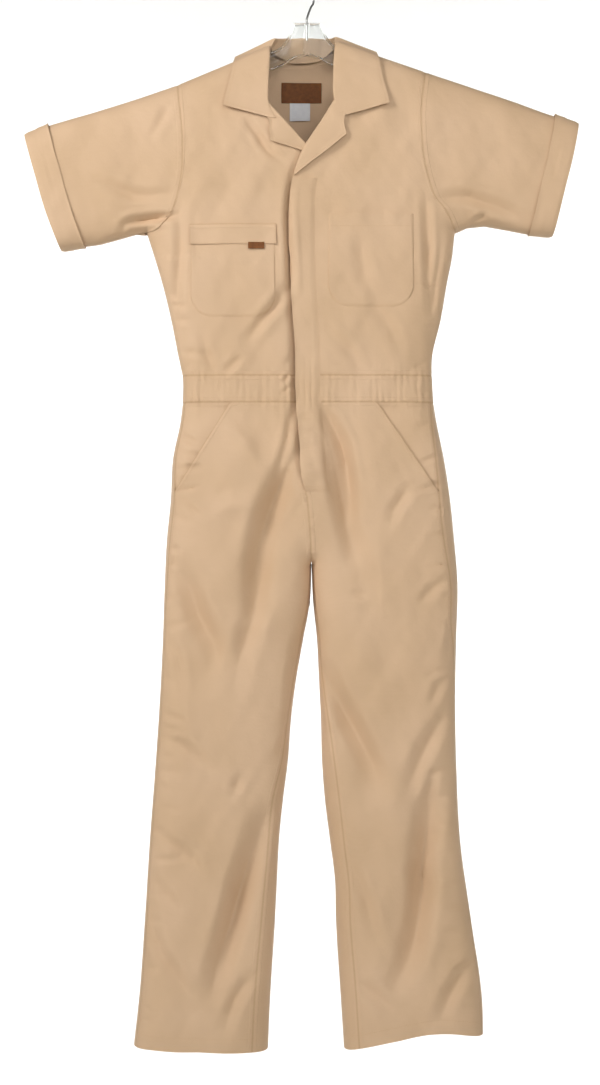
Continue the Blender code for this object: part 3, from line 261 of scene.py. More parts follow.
# Creases seen close to, valleys where the height is negative.
FRONT_CREASES = (
    crease(0.0050, -0.0016, (-0.1957, -0.8455), (-0.1669, -0.8711)),
    crease(0.0060, -0.0018, (-0.2102, -0.9112), (-0.2134, -0.9465)),
    crease(0.0140, -0.0045, (-0.2102, -0.9449), (-0.1861, -0.9897), (-0.1717, -1.0298),
           (-0.1509, -1.0651), (-0.1412, -1.1067)),
    crease(0.0140, -0.0040, (-0.0739, -0.9368), (-0.0787, -0.9817), (-0.0899, -1.0426),
           (-0.1092, -1.1019), (-0.1172, -1.1420)),
    crease(0.0080, -0.0020, (-0.2262, -1.0619), (-0.2070, -1.1019), (-0.2021, -1.1500)),
    crease(0.0100, -0.0026, (-0.2358, -1.2189), (-0.1989, -1.2366), (-0.1717, -1.2590),
           (-0.1509, -1.2750)),
    crease(0.0080, -0.0020, (-0.1092, -1.2831), (-0.1172, -1.3135)),
    crease(0.0080, -0.0022, (-0.0258, -1.2157), (-0.0451, -1.2558)),
    crease(0.0150, -0.0065, (-0.0627, -1.3440), (-0.0803, -1.3856), (-0.1012, -1.4449),
           (-0.1188, -1.5090), (-0.1348, -1.5619), (-0.1460, -1.5972), (-0.1509, -1.6309)),
    crease(0.0100, -0.0030, (-0.0819, -1.6036), (-0.1076, -1.6309), (-0.1204, -1.6581),
           (-0.1316, -1.6950)),
    crease(0.0100, -0.0030, (-0.2566, -1.5010), (-0.2342, -1.5651), (-0.2150, -1.5972),
           (-0.1925, -1.6341)),
    crease(0.0090, -0.0024, (-0.2422, -1.3760), (-0.2005, -1.4049), (-0.1733, -1.4369)),
    crease(0.0080, -0.0020, (-0.2486, -1.4513), (-0.2070, -1.4978)),
    crease(0.0090, -0.0026, (0.1697, -0.8134), (0.1409, -0.8551), (0.1344, -0.8807)),
    crease(0.0080, -0.0020, (0.2402, -0.9689), (0.2178, -0.9737), (0.1954, -0.9897), (0.1745, -1.0106)),
    crease(0.0060, -0.0014, (0.0703, -0.9913), (0.0944, -0.9961)),
    crease(0.0130, -0.0050, (0.0239, -1.1067), (0.0495, -1.1628), (0.0767, -1.2109), (0.1008, -1.2558),
           (0.1168, -1.2911)),
    crease(0.0080, -0.0022, (0.2274, -1.1228), (0.2098, -1.1436), (0.1986, -1.1709)),
    crease(0.0120, -0.0040, (0.2274, -1.1757), (0.2098, -1.2045), (0.1905, -1.2366), (0.1745, -1.2766),
           (0.1617, -1.3055)),
    crease(0.0080, -0.0020, (0.2066, -1.2638), (0.1986, -1.2959), (0.1938, -1.3359)),
    crease(0.0090, -0.0026, (0.0623, -1.4145), (0.0816, -1.4546), (0.0976, -1.4946), (0.1056, -1.5283),
           (0.1184, -1.5603)),
    crease(0.0150, -0.0065, (0.2018, -1.3215), (0.1938, -1.3744), (0.1857, -1.4273), (0.1857, -1.4802),
           (0.1777, -1.5347), (0.1697, -1.5732), (0.1457, -1.6164)),
    crease(0.0110, -0.0032, (0.2723, -1.5764), (0.2466, -1.6084), (0.2274, -1.6405), (0.2146, -1.6757)),
    crease(0.0110, -0.0030, (0.0816, -1.6132), (0.1136, -1.6405), (0.1377, -1.6645)),
    crease(0.0100, -0.0050, (0.0222, -0.6868), (0.0367, -0.7124), (0.0559, -0.7525), (0.0671, -0.8086),
           (0.0719, -0.8663)),
    crease(0.0120, -0.0035, (0.0222, -0.7124), (0.0399, -0.7637), (0.0527, -0.8246), (0.0735, -0.9304)),
    crease(0.0150, -0.0060, (-0.0162, -0.7573), (-0.0371, -0.8054), (-0.0691, -0.8791),
           (-0.0883, -0.9689)),
    crease(0.0060, -0.0024, (-0.0226, -0.6836), (-0.0290, -0.7285), (-0.0387, -0.7685),
           (-0.0483, -0.7958)),
    crease(0.0080, -0.0026, (-0.2054, -0.3630), (-0.2054, -0.4496), (-0.2102, -0.5009),
           (-0.2021, -0.5842)),
    crease(0.0080, -0.0030, (-0.0306, -0.4945), (-0.0515, -0.5281), (-0.0691, -0.5457),
           (-0.0851, -0.5682), (-0.0980, -0.5842)),
    crease(0.0060, -0.0018, (-0.1076, -0.6099), (-0.1204, -0.6227), (-0.1348, -0.6355)),
    crease(0.0070, -0.0026, (0.1905, -0.3438), (0.1954, -0.4352), (0.1970, -0.4977), (0.2018, -0.5425)),
    crease(0.0050, -0.0018, (0.2146, -0.4303), (0.2098, -0.4752), (0.2034, -0.5361)),
    crease(0.0100, -0.0016, (0.0864, -0.4143), (0.0896, -0.4672), (0.1056, -0.5041), (0.1184, -0.5217)),
    crease(0.0070, -0.0018, (-0.2214, -0.2011), (-0.2358, -0.2284), (-0.2518, -0.2572)),
    crease(0.0080, -0.0022, (-0.3368, -0.3262), (-0.3047, -0.3374), (-0.2743, -0.3486),
           (-0.2198, -0.3470)),
    crease(0.0060, -0.0050, (-0.2102, -0.3823), (-0.2518, -0.3855), (-0.2903, -0.3919),
           (-0.2999, -0.4047)),
    crease(0.0090, -0.0032, (0.2098, -0.3550), (0.2515, -0.3502), (0.2771, -0.3566), (0.3156, -0.3694),
           (0.3540, -0.3903)),
    crease(0.0050, -0.0024, (0.2675, -0.3919), (0.2899, -0.3791)),
    crease(0.0060, -0.0026, (0.2851, -0.3887), (0.3172, -0.4079)),
    crease(0.0060, -0.0022, (-0.0964, -0.2300), (-0.0787, -0.2508), (-0.0627, -0.2765),
           (-0.0371, -0.2957)),
    crease(0.0060, -0.0030, (-0.0274, -0.3374), (-0.0306, -0.3839), (-0.0258, -0.4592),
           (-0.0242, -0.5041)),
    crease(0.0140, 0.0018, (-0.1637, -0.8727), (-0.1204, -0.8487), (-0.0723, -0.8599)),
    crease(0.0160, 0.0020, (0.0848, -0.8727), (0.1136, -0.9368), (0.1232, -1.0330)),
    crease(0.0120, 0.0016, (-0.1493, -0.7124), (-0.1076, -0.7413), (-0.0723, -0.7926)),
    crease(0.0090, -0.0015, (0.0976, -0.5201), (0.1296, -0.5554), (0.1521, -0.6034)),
    crease(0.0080, -0.0014, (0.0367, -0.5682), (0.0719, -0.6034), (0.0880, -0.6355)),
    crease(0.0070, -0.0015, (-0.1717, -0.5682), (-0.1621, -0.6034), (-0.1493, -0.6387)),
    crease(0.0050, -0.0015, (-0.2230, -0.8086), (-0.2198, -0.8567), (-0.2230, -0.9048)),
    crease(0.0070, -0.0020, (0.2434, -1.0170), (0.2322, -1.0651), (0.2242, -1.1003)),
    crease(0.0080, -0.0020, (-0.0114, -1.0651), (-0.0242, -1.1292), (-0.0274, -1.1933)),
    crease(0.0070, -0.0018, (0.0367, -1.4497), (0.0463, -1.5139), (0.0527, -1.5940)),
    crease(0.0032, -0.0010, (-0.0420, -0.6520), (-0.0250, -0.6360)),
    crease(0.0032, -0.0010, (-0.0430, -0.6700), (-0.0230, -0.6550)),
    crease(0.0032, -0.0009, (-0.0380, -0.6250), (-0.0240, -0.6080)),
    crease(0.0036, -0.0007, (-0.0140, -0.7080), (0.0120, -0.7040)),
    crease(0.0036, -0.0007, (-0.0110, -0.7350), (0.0150, -0.7300)),
    crease(0.0036, -0.0007, (-0.0090, -0.7620), (0.0170, -0.7550)),
    crease(0.0036, -0.0007, (-0.0050, -0.7900), (0.0210, -0.7850)),
    crease(0.0034, -0.0008, (-0.0120, -0.8480), (0.0080, -0.8440)),
    crease(0.0034, -0.0008, (-0.0020, -0.8740), (0.0160, -0.8690)),
    crease(0.0034, -0.0008, (-0.0060, -0.9040), (0.0130, -0.8980)),
)
# The back hangs in folds like those of the front, the other way round and softer.
BACK_CREASES = tuple(crease(one["width"] * 1.15, one["height"] * 0.8,
                            *((0.010 - x, z - 0.045) for x, z in one["along"]))
                     for one in FRONT_CREASES if one["width"] > 0.0065)
GATHER = {"across": (-0.215, -0.185, -0.160, -0.090, -0.040, 0.030, 0.120, 0.165, 0.190, 0.215),
          "front": (0.0012, 0.0013, 0.0006, 0.0005, 0.0009, 0.0005, 0.0005, 0.0007, 0.0013, 0.0012),
          "back": (0.0016, 0.0020, 0.0021, 0.0019, 0.0021, 0.0020, 0.0019, 0.0021, 0.0020, 0.0016)}


def column(table, name, at, key="height"):
    """A table's column read at any height, along a smooth line through its rows."""
    keys, values = np.array(table[key], float), np.array(table[name], float)
    order = np.argsort(keys)
    keys, values = keys[order], values[order]
    slopes = np.gradient(values, keys)
    at = np.clip(at, keys[0], keys[-1])
    row = np.clip(np.searchsorted(keys, at) - 1, 0, len(keys) - 2)
    run = keys[row + 1] - keys[row]
    t = (at - keys[row]) / run
    return (values[row] * (1 + 2 * t) * (1 - t) ** 2 + slopes[row] * run * t * (1 - t) ** 2
            + values[row + 1] * t * t * (3 - 2 * t) + slopes[row + 1] * run * t * t * (t - 1))


def straight(points, at):
    """The second number of a run of points read at a first number, straight between the points."""
    points = np.array(points)
    order = np.argsort(points[:, 0])
    return np.interp(at, points[order, 0], points[order, 1])


def top_height(across):
    return straight(list(zip(TOP_LINE["across"], TOP_LINE["height"])), across)


def eased(grid, times):
    """Rows added between a grid's rows, along smooth curves through them."""
    grid = np.array(grid, float)
    padded = np.concatenate([[2 * grid[0] - grid[1]], grid, [2 * grid[-1] - grid[-2]]])
    fine = []
    for before, start, end, after in zip(padded, padded[1:], padded[2:], padded[3:]):
        for t in np.arange(times) / times:
            fine.append(0.5 * (2 * start + (end - before) * t
                               + (2 * before - 5 * start + 4 * end - after) * t * t
                               + (3 * start - before - 3 * end + after) * t ** 3))
    return np.array(fine + [grid[-1]])


def spread(line, count, ease=None):
    """count points along a line of straight runs, evenly or as ease spaces them."""
    line = np.array(line, float)
    lengths = np.concatenate([[0], np.cumsum(np.linalg.norm(np.diff(line, axis=0), axis=1))])
    share = np.linspace(0, 1, count)
    at = (share if ease is None else ease(share)) * lengths[-1]
    return np.column_stack([np.interp(at, lengths, line[:, k]) for k in range(line.shape[1])])


def curve(points, count, ease=None):
    return spread(eased(points, 24), count, ease)


def joined(*parts):
    return np.vstack([parts[0]] + [part[1:] for part in parts[1:]])


def close_at_start(share):
    return share ** 1.8


def close_at_end(share):
    return 1 - (1 - share) ** 1.7


def close_at_both_ends(share):
    return 0.5 - 0.5 * np.cos(np.pi * share)


def coons(bottom, top, start, end):
    """A grid filled in between four edges. bottom and top run along it, start and end across it."""
    across = np.linspace(0, 1, len(bottom))[None, :, None]
    up = np.linspace(0, 1, len(start))[:, None, None]
    ruled = (1 - up) * bottom[None] + up * top[None] + (1 - across) * start[:, None] + across * end[:, None]
    corners = ((1 - up) * ((1 - across) * bottom[0] + across * bottom[-1])
               + up * ((1 - across) * top[0] + across * top[-1]))
    return ruled - corners


def nearest_on(line, x, z):
    """Distance in the plane Y = 0 from a line of straight runs, and how far along it that is."""
    line = np.array(line, float)
    nearest, where, gone = np.full(np.shape(x), 9.0), np.zeros(np.shape(x)), 0.0
    for (ax, az), (bx, bz) in zip(line, line[1:]):
        run_x, run_z = bx - ax, bz - az
        length = math.hypot(run_x, run_z)
        share = np.clip(((x - ax) * run_x + (z - az) * run_z) / length ** 2, 0, 1)
        apart = np.hypot(x - ax - share * run_x, z - az - share * run_z)
        where = np.where(apart < nearest, gone + share * length, where)
        nearest = np.minimum(nearest, apart)
        gone += length
    return nearest, where / gone


def outer_line(side):
    """The outline from a leg's hem up to the armpit and out under the sleeve, a little past its ends."""
    heights = np.linspace(BODY["height"][-1], BODY["height"][0], 92)
    body = np.column_stack([column(BODY, side, heights), heights])
    sleeve = np.array(UNDERARM[side])
    return np.vstack([[body[0] - (0, 0.1)], body, sleeve[1:], [2 * sleeve[-1] - sleeve[-2]]])


def inner_line(side):
    heights = np.linspace(CROTCH[1], INNER_LEG["height"][-1], 32)
    legs = np.column_stack([column(INNER_LEG, side, heights), heights])
    return np.vstack([legs, [legs[-1] - (0, 0.1)]])


OUTER = {side: outer_line(side) for side in ("right", "left")}
INNER = {side: inner_line(side) for side in ("right", "left")}


def edge_creases(seed):
    """Short creases that run in from the outline of the legs and the bodice, uneven and close together."""
    draw, made = np.random.default_rng(seed), []
    for side, inward in (("right", 1), ("left", -1)):
        height = -0.500
        while height > -1.700:
            start = column(BODY, side, height) + inward * 0.002
            reach, fall = inward * draw.uniform(0.018, 0.058), draw.uniform(-0.020, 0.012)
            made.append(crease(draw.uniform(0.0030, 0.0060), -draw.uniform(0.0006, 0.0019),
                               (start, height), (start + reach, height + fall)))
            height -= draw.uniform(0.020, 0.060)
    return tuple(made)


def drawn_out(creases):
    """Each crease with the smooth line that it runs along."""
    return [dict(one, line=curve(one["along"], 9)) for one in creases]


CREASES = {FRONT: drawn_out(FRONT_CREASES + edge_creases(3)),
           BACK: drawn_out(BACK_CREASES + edge_creases(8))}
FOLDS = {FRONT: FRONT_FOLDS, BACK: BACK_FOLDS}
RIPPLES = 26
CREASE_DEPTH, FOLD_DEPTH = 3.0, 2.5


def crease_height(creases, x, z):
    """How far the creases move the cloth: a valley with a low ridge along each side."""
    total = np.zeros(np.shape(x))
    for one in creases:
        line, width = one["line"], one["width"]
        low, high = line.min(0) - 3.2 * width, line.max(0) + 3.2 * width
        near = (x > low[0]) & (x < high[0]) & (z > low[1]) & (z < high[1])
        if not near.any():
            continue
        away, along = nearest_on(line, x[near], z[near])
        taper = np.sin(np.pi * (0.04 + 0.92 * along)) ** 0.8
        valley = 0.6 * np.exp(-(away / width) ** 2) + 0.4 * np.exp(-1.7 * away / width)
        ridge = 0.28 * np.exp(-((away - 1.9 * width) / (0.8 * width)) ** 2)
        total[near] += CREASE_DEPTH * one["height"] * taper * (valley - ridge)
    return total


def fold_height(folds, x, z):
    """How far the large folds move the cloth out at a place."""
    total = np.zeros(np.shape(x))
    for fold in folds:
        away, along = nearest_on((fold["start"], fold["end"]), x, z)
        swell = np.sin(np.pi * along) ** 0.8 * np.exp(-(away / fold["width"]) ** 2)
        total = total + FOLD_DEPTH * fold["height"] * swell
    return total


def ripple_height(x, z, sheet):
    """The faint unevenness of cloth that hangs free, longer down the cloth than across it."""
    draw, total = np.random.default_rng(20 + sheet), np.zeros(np.shape(x))
    for _ in range(RIPPLES):
        length = draw.uniform(0.022, 0.120)
        turn, slant = draw.uniform(0, 2 * math.pi), draw.normal(0, 0.45)
        total = total + length * 0.0042 * np.sin(2 * math.pi * (x + slant * z) / length + turn)
    return total


def gather_height(x, z, sheet):
    """The elastic in the waistband gathers the cloth into small upright pleats."""
    deep = column(GATHER, "front" if sheet == FRONT else "back", x, "across")
    off = np.maximum(0, np.maximum(z - WAIST_TOP, WAIST_BOTTOM - z))
    pleats = np.sin(2 * math.pi * (x + 0.0007 * np.sin(z * 150 + x * 210)) / 0.0115 + 2.2 * np.sin(x * 47))
    uneven = 0.75 + 0.45 * np.sin(x * 173 + 1.0) + 0.35 * np.sin(x * 61 + z * 120)
    return deep * uneven * pleats * np.exp(-off / 0.014)


def depth(x, z, sheet):
    """How far the outside of one sheet stands off the plane Y = 0."""
    x, z = np.asarray(x, float), np.asarray(z, float)
    full = column(FULLNESS, "front" if sheet == FRONT else "back", z)
    on_sleeve = np.clip((np.abs(x) - 0.16) / 0.12, 0, 1) * (z > -0.45)
    full = full + (SLEEVE_FULLNESS - full) * on_sleeve
    edge = np.clip(np.maximum(top_height(x) - z, 0), 0, 9)
    edge = np.sqrt(edge / (edge + 0.030))
    near = 1.0
    for side in ("right", "left"):
        apart = np.maximum(nearest_on(OUTER[side], x, z)[0] - 0.00004, 0)
        edge = edge * np.sqrt(apart / (apart + 0.020))
        near = near * np.clip(apart / 0.009, 0, 1)
    apart = np.minimum(nearest_on(INNER["right"], x, z)[0], nearest_on(INNER["left"], x, z)[0])
    edge = edge * np.sqrt(apart / (apart + 0.026))
    moved = (fold_height(FOLDS[sheet], x, z) + crease_height(CREASES[sheet], x, z)
             + ripple_height(x, z, sheet) + gather_height(x, z, sheet))
    return full * edge + moved * edge * near


def on_sheet(plan, sheet):
    """Points of a sheet above a plan of (x, z) places."""
    x, z = plan[..., 0], plan[..., 1]
    return np.stack([x, sheet * depth(x, z, sheet), z], axis=-1)


def outward_of(points):
    """Directions square to a grid of points, away from the plane Y = 0."""
    out = np.cross(np.gradient(points, axis=0), np.gradient(points, axis=1))
    if np.sum(out[..., 1] * points[..., 1]) < 0:
        out = -out
    return out / np.maximum(np.linalg.norm(out, axis=-1, keepdims=True), 1e-12)


def turned(grid, edge):
    """A grid laid so that this edge of it is its first column."""
    if edge in ("bottom", "top"):
        grid = grid.swapaxes(0, 1)
    return grid[:, ::-1] if edge in ("end", "top") else grid


def from_edge(points, edge):
    """How far over the cloth each point of a grid is from one of its edges."""
    grid = turned(points, edge)
    steps = np.linalg.norm(np.diff(grid, axis=1), axis=-1)
    far = np.concatenate([np.zeros((len(grid), 1)), np.cumsum(steps, axis=1)], axis=1)
    far = far[:, ::-1] if edge in ("end", "top") else far
    return far.swapaxes(0, 1) if edge in ("bottom", "top") else far


panels = {}


def cloth(name, points, made_of, outside=0.0, inside=-CLOTH, sewn=(), drawn=0.0005, outward=None):
    """A panel: an outer and an inner skin over a grid, drawn in along its sewn edges, closed at its rim."""
    outward = outward_of(points) if outward is None else outward
    rows, columns = points.shape[:2]
    seam = np.full((rows, columns), 1.0)
    for edge in sewn:
        seam = np.minimum(seam, from_edge(points, edge))
    furrow = drawn * np.exp(-(seam / 0.0026) ** 2)
    outer = points + outward * (outside - furrow)[..., None]
    inner = points + outward * (inside - furrow)[..., None]
    count = rows * columns
    spot = np.arange(count).reshape(rows, columns)
    quads = np.stack([spot[:-1, :-1], spot[:-1, 1:], spot[1:, 1:], spot[1:, :-1]], -1).reshape(-1, 4)
    ring = np.concatenate([spot[0, :-1], spot[:-1, -1], spot[-1, :0:-1], spot[:0:-1, 0]])
    after = np.roll(ring, -1)
    rim = np.stack([after, ring, ring + count, after + count], -1)
    faces = np.concatenate([quads, quads[:, ::-1] + count, rim])
    places = np.concatenate([outer.reshape(-1, 3), inner.reshape(-1, 3)])
    a, b, c, d = (places[faces[:, k]] for k in range(4))
    if np.sum(np.cross(b - a, c - a) * a) + np.sum(np.cross(c - a, d - a) * a) < 0:
        faces = faces[:, ::-1]
    mesh = bpy.data.meshes.new(name)
    mesh.from_pydata(places.tolist(), [], faces.tolist())
    weave = np.stack([from_edge(points, "start"), from_edge(points, "bottom")], -1).reshape(-1, 2)
    corners = np.array([loop.vertex_index for loop in mesh.loops]) % count
    mesh.uv_layers.new(name="weave").data.foreach_set("uv", weave[corners].ravel())
    distance = mesh.attributes.new("seam", "FLOAT", "POINT")
    distance.data.foreach_set("value", np.tile(seam.ravel(), 2).astype(np.float32))
    mesh.shade_smooth()
    mesh.set_sharp_from_angle(angle=math.radians(60))
    piece = bpy.data.objects.new(name, mesh)
    mesh.materials.append(made_of)
    bpy.context.scene.collection.objects.link(piece)
    half = np.linalg.norm(np.cross(np.diff(points[:, :-1], axis=0), np.diff(points[:-1], axis=1)), axis=-1)
    panels[name] = {"piece": piece, "skin": outer, "outward": outward, "area": float(half.sum()),
                    "width": float(from_edge(points, "end").max()),
                    "length": float(from_edge(points, "top").max())}


def hang(name, nodes):
    """Attaches a panel to the root and hides the imported parts that it stands for."""
    panel = panels[name]
    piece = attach(panel["piece"], "root")
    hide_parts(*nodes)


runs = {"bodice": [], "trousers": [], "small_pieces": []}


def topstitch(group, name, edge, distance, first=0.0, last=1.0):
    """Notes a row of stitches on a panel, this far over the cloth from one of its edges."""
    panel = panels[name]
    skin, outward = turned(panel["skin"], edge), turned(panel["outward"], edge)
    begin, end = int(first * (len(skin) - 1)), int(last * (len(skin) - 1)) + 1
    line, out = [], []
    for row, direction in zip(skin[begin:end], outward[begin:end]):
        gone = np.concatenate([[0], np.cumsum(np.linalg.norm(np.diff(row, axis=0), axis=1))])
        at = min(distance, gone[-1])
        line.append([np.interp(at, gone, row[:, k]) for k in range(3)])
        out.append([np.interp(at, gone, direction[:, k]) for k in range(3)])
    runs[group].append((np.array(line), np.array(out)))


# ---------------------------------------------------------------- The bodice fronts
# Two poplin fronts that meet at a lapped edge, left over right, which a hidden row of snaps closes.
# Each is seamed to the back at the side and shoulder, and turns back as a lapel above the lap.

ROWS = 11
ARM_ROWS = 9 * ROWS + 1
SEAM_STITCH, FELL_STITCH = 0.0016, 0.0072  # from the seam


def closing_edge(z):
    return column(CLOSING_EDGE, "across", z)


def body_side(side):
    """The side seam of the bodice from the waist up, then the armhole up to the shoulder."""
    heights = np.linspace(WAIST_TOP, ARMHOLE[side][-1][1], 5 * ROWS + 1)
    down = np.column_stack([column(BODY, side, heights), heights])
    down[-1] = ARMHOLE[side][-1]
    return joined(down, curve(ARMHOLE[side][::-1], ARM_ROWS, close_at_both_ends))


NECK_EDGE = {
    "right": ((-0.0019, -0.2690), (-0.0300, -0.2390), (-0.0560, -0.2130), (-0.0690, -0.1900),
              (-0.0710, -0.1400), (-0.0640, -0.1035)),
    "left": ((-0.0222, -0.3187), (-0.0019, -0.2690), (0.0230, -0.2330), (0.0480, -0.1970),
             (0.0570, -0.1600), (0.0560, -0.1300), (0.0520, -0.0950)),
}
TUCK, TUCK_AHEAD, TUCK_TOP = 0.0038, 0.012, -0.235
TROUGH, TROUGH_WIDTH, TROUGH_TOP = 0.0042, 0.0065, -0.300


def tuck_under(points):
    """Moves cloth that runs under the closing edge in behind it, with a trough along that edge."""
    past = points[..., 0] - closing_edge(points[..., 2]) + TUCK_AHEAD
    share = (np.clip(past / 0.010, 0, 1) * np.clip((TUCK_TOP - points[..., 2]) / 0.020, 0, 1)
             * np.clip((points[..., 2] - FLY_END) / 0.040, 0, 1))
    beside = (np.exp(-((past - TUCK_AHEAD) / TROUGH_WIDTH) ** 2)
              * np.clip((TROUGH_TOP - points[..., 2]) / 0.030, 0, 1)
              * np.clip((points[..., 2] - FLY_END) / 0.020, 0, 1))
    points[..., 1] += TUCK * share * share * (3 - 2 * share) + TROUGH * beside
    return points


for side in ("right", "left"):
    outer = body_side(side)
    foot, low_rows, columns = NECK_EDGE[side][0][1], 6 * ROWS + 1, 84
    heights = np.linspace(WAIST_TOP, foot, low_rows)
    across = closing_edge(heights)
    if side == "right":
        across = across + UNDERLAP * np.clip((foot - heights) / 0.05, 0, 1)
    inner = joined(np.column_stack([across, heights]),
                   spread(NECK_EDGE[side], len(outer) - low_rows + 1, close_at_end))
    plan = coons(spread([outer[0], inner[0]], columns, close_at_start),
                 spread([outer[-1], inner[-1]], columns), outer, inner)
    points = on_sheet(plan, FRONT)
    if side == "right":
        points = tuck_under(points)
    name = f"front_{side}_panel"
    cloth(name, points, poplin, sewn=("start", "top", "bottom"))
    hang(name, (f"front_{side}",))
    for distance in (SEAM_STITCH, FELL_STITCH):
        topstitch("bodice", name, "start", distance, 0.36, 1.0)

# ---------------------------------------------------------------- The bodice back
# One wide poplin back, plain, with a shallow curved neck that the collar and both labels are sewn to.

sides = {side: body_side(side) for side in ("right", "left")}
share = np.linspace(0, 1, 6 * 8 + 1)
neck = (np.array(NECK_POINT["right"]) * (1 - share[:, None]) + np.array(NECK_POINT["left"]) * share[:, None])
neck[:, 1] -= NECK_DIP * np.sin(np.pi * share) ** 0.7
top = joined(spread([SHOULDER_TIP["right"], NECK_POINT["right"]], 5 * 8 + 1), neck,
             spread([NECK_POINT["left"], SHOULDER_TIP["left"]], 5 * 8 + 1))
bottom = spread([sides["right"][0], sides["left"][0]], len(top), close_at_both_ends)
cloth("back_panel", on_sheet(coons(bottom, top, sides["right"], sides["left"]), BACK), poplin,
      sewn=("start", "end", "top", "bottom"))
hang("back_panel", ("back",))
for edge in ("start", "end"):
    topstitch("bodice", "back_panel", edge, SEAM_STITCH)

# ---------------------------------------------------------------- The waistband
# A poplin band between bodice and trousers, in two fronts and a back. Elastic runs inside it from
# hip to hip round the back, so it is gathered there and lies nearly flat in front.

BAND_ROWS, BAND_COLUMNS, BACK_BAND_COLUMNS = 15, 150, 260
BAND_LIFT, BAND_FELL_STITCH = 0.0004, 0.0075
ELASTIC_STITCHES = (0.0016, 0.0145, 0.0290)  # rows sewn through the elastic, from the band's foot
rows = np.linspace(WAIST_BOTTOM, WAIST_TOP, BAND_ROWS)
for side in ("right", "left"):
    plan = []
    for z in rows:
        outer = column(BODY, side, z)
        inner = closing_edge(z) + (UNDERLAP if side == "right" else 0)
        across = outer + (inner - outer) * np.linspace(0, 1, BAND_COLUMNS) ** 1.3
        plan.append(np.column_stack([across, np.full(BAND_COLUMNS, z)]))
    points = on_sheet(np.array(plan), FRONT)
    if side == "right":
        points = tuck_under(points)
    name = f"waistband_front_{side}_panel"
    cloth(name, points, poplin, BAND_LIFT, BAND_LIFT - CLOTH, sewn=("bottom", "top", "start"))
    hang(name, (f"waistband_front_{side}",))
    for edge, distance in (("bottom", SEAM_STITCH), ("bottom", BAND_FELL_STITCH), ("top", SEAM_STITCH)):
        topstitch("bodice", name, edge, distance)
plan = []
for z in rows:
    across = spread([(column(BODY, "right", z),), (column(BODY, "left", z),)], BACK_BAND_COLUMNS,
                    close_at_both_ends)[:, 0]
    plan.append(np.column_stack([across, np.full(BACK_BAND_COLUMNS, z)]))
cloth("waistband_back_panel", on_sheet(np.array(plan), BACK), poplin, BAND_LIFT, BAND_LIFT - CLOTH,
      sewn=("bottom", "top", "start", "end"))
hang("waistband_back_panel", ("waistband_back",))
for distance in ELASTIC_STITCHES:
    topstitch("bodice", "waistband_back_panel", "bottom", distance)

# ---------------------------------------------------------------- Sleeves and cuffs
# Short set-in sleeves, each one piece of poplin seamed under the arm, with a cuff turned back once
# over the outside and caught down only at its seam, so its free edge stands off a little.


def cuff_line(side, inside_fold):
    """The line across the sleeve this far in from the cuff's fold, from the top line to the underarm."""
    fold = curve(CUFF_FOLD[side], ARM_ROWS, close_at_both_ends)
    toward = 1 if side == "right" else -1
    ends = fold[[0, -1], 0] + toward * inside_fold * 0.97
    head = np.array([ends[0], top_height(ends[0])])
    foot = np.array([ends[1], straight(UNDERARM[side], ends[1])])
    share = close_at_both_ends(np.linspace(0, 1, ARM_ROWS))[:, None]
    return fold + (head - fold[0]) * (1 - share) + (foot - fold[-1]) * share


def round_sleeve(lines):
    """Grid points round the sleeve: from the underarm up the front, over the top and down the back."""
    plan = np.array([line[::-1] for line in lines]).swapaxes(0, 1)
    front, back = on_sheet(plan, FRONT), on_sheet(plan[::-1], BACK)
    front[-1, :, 1] = 0
    front[0, :, 1] = back[-1, :, 1] = 0
    return np.vstack([front, back[1:]])


def sleeve_lines(side, count):
    """Lines across the sleeve, evenly from its armhole to the inner edge of the cuff."""
    armhole = curve(ARMHOLE[side], ARM_ROWS, close_at_both_ends)
    cuff_edge, lines = cuff_line(side, CUFF_WIDTH), []
    for share in np.linspace(0, 1, count):
        line = armhole + (cuff_edge - armhole) * share
        head_rise = top_height(line[0, 0]) - line[0, 1]
        foot_rise = straight(UNDERARM[side], line[-1, 0]) - line[-1, 1]
        down = close_at_both_ends(np.linspace(0, 1, ARM_ROWS))
        line[:, 1] += head_rise * (1 - down) + foot_rise * down
        lines.append(line)
    return lines


SLEEVE_LINES, HIDDEN_LINES, CUFF_LINES, TURNED_LINES = 44, 9, 14, 10
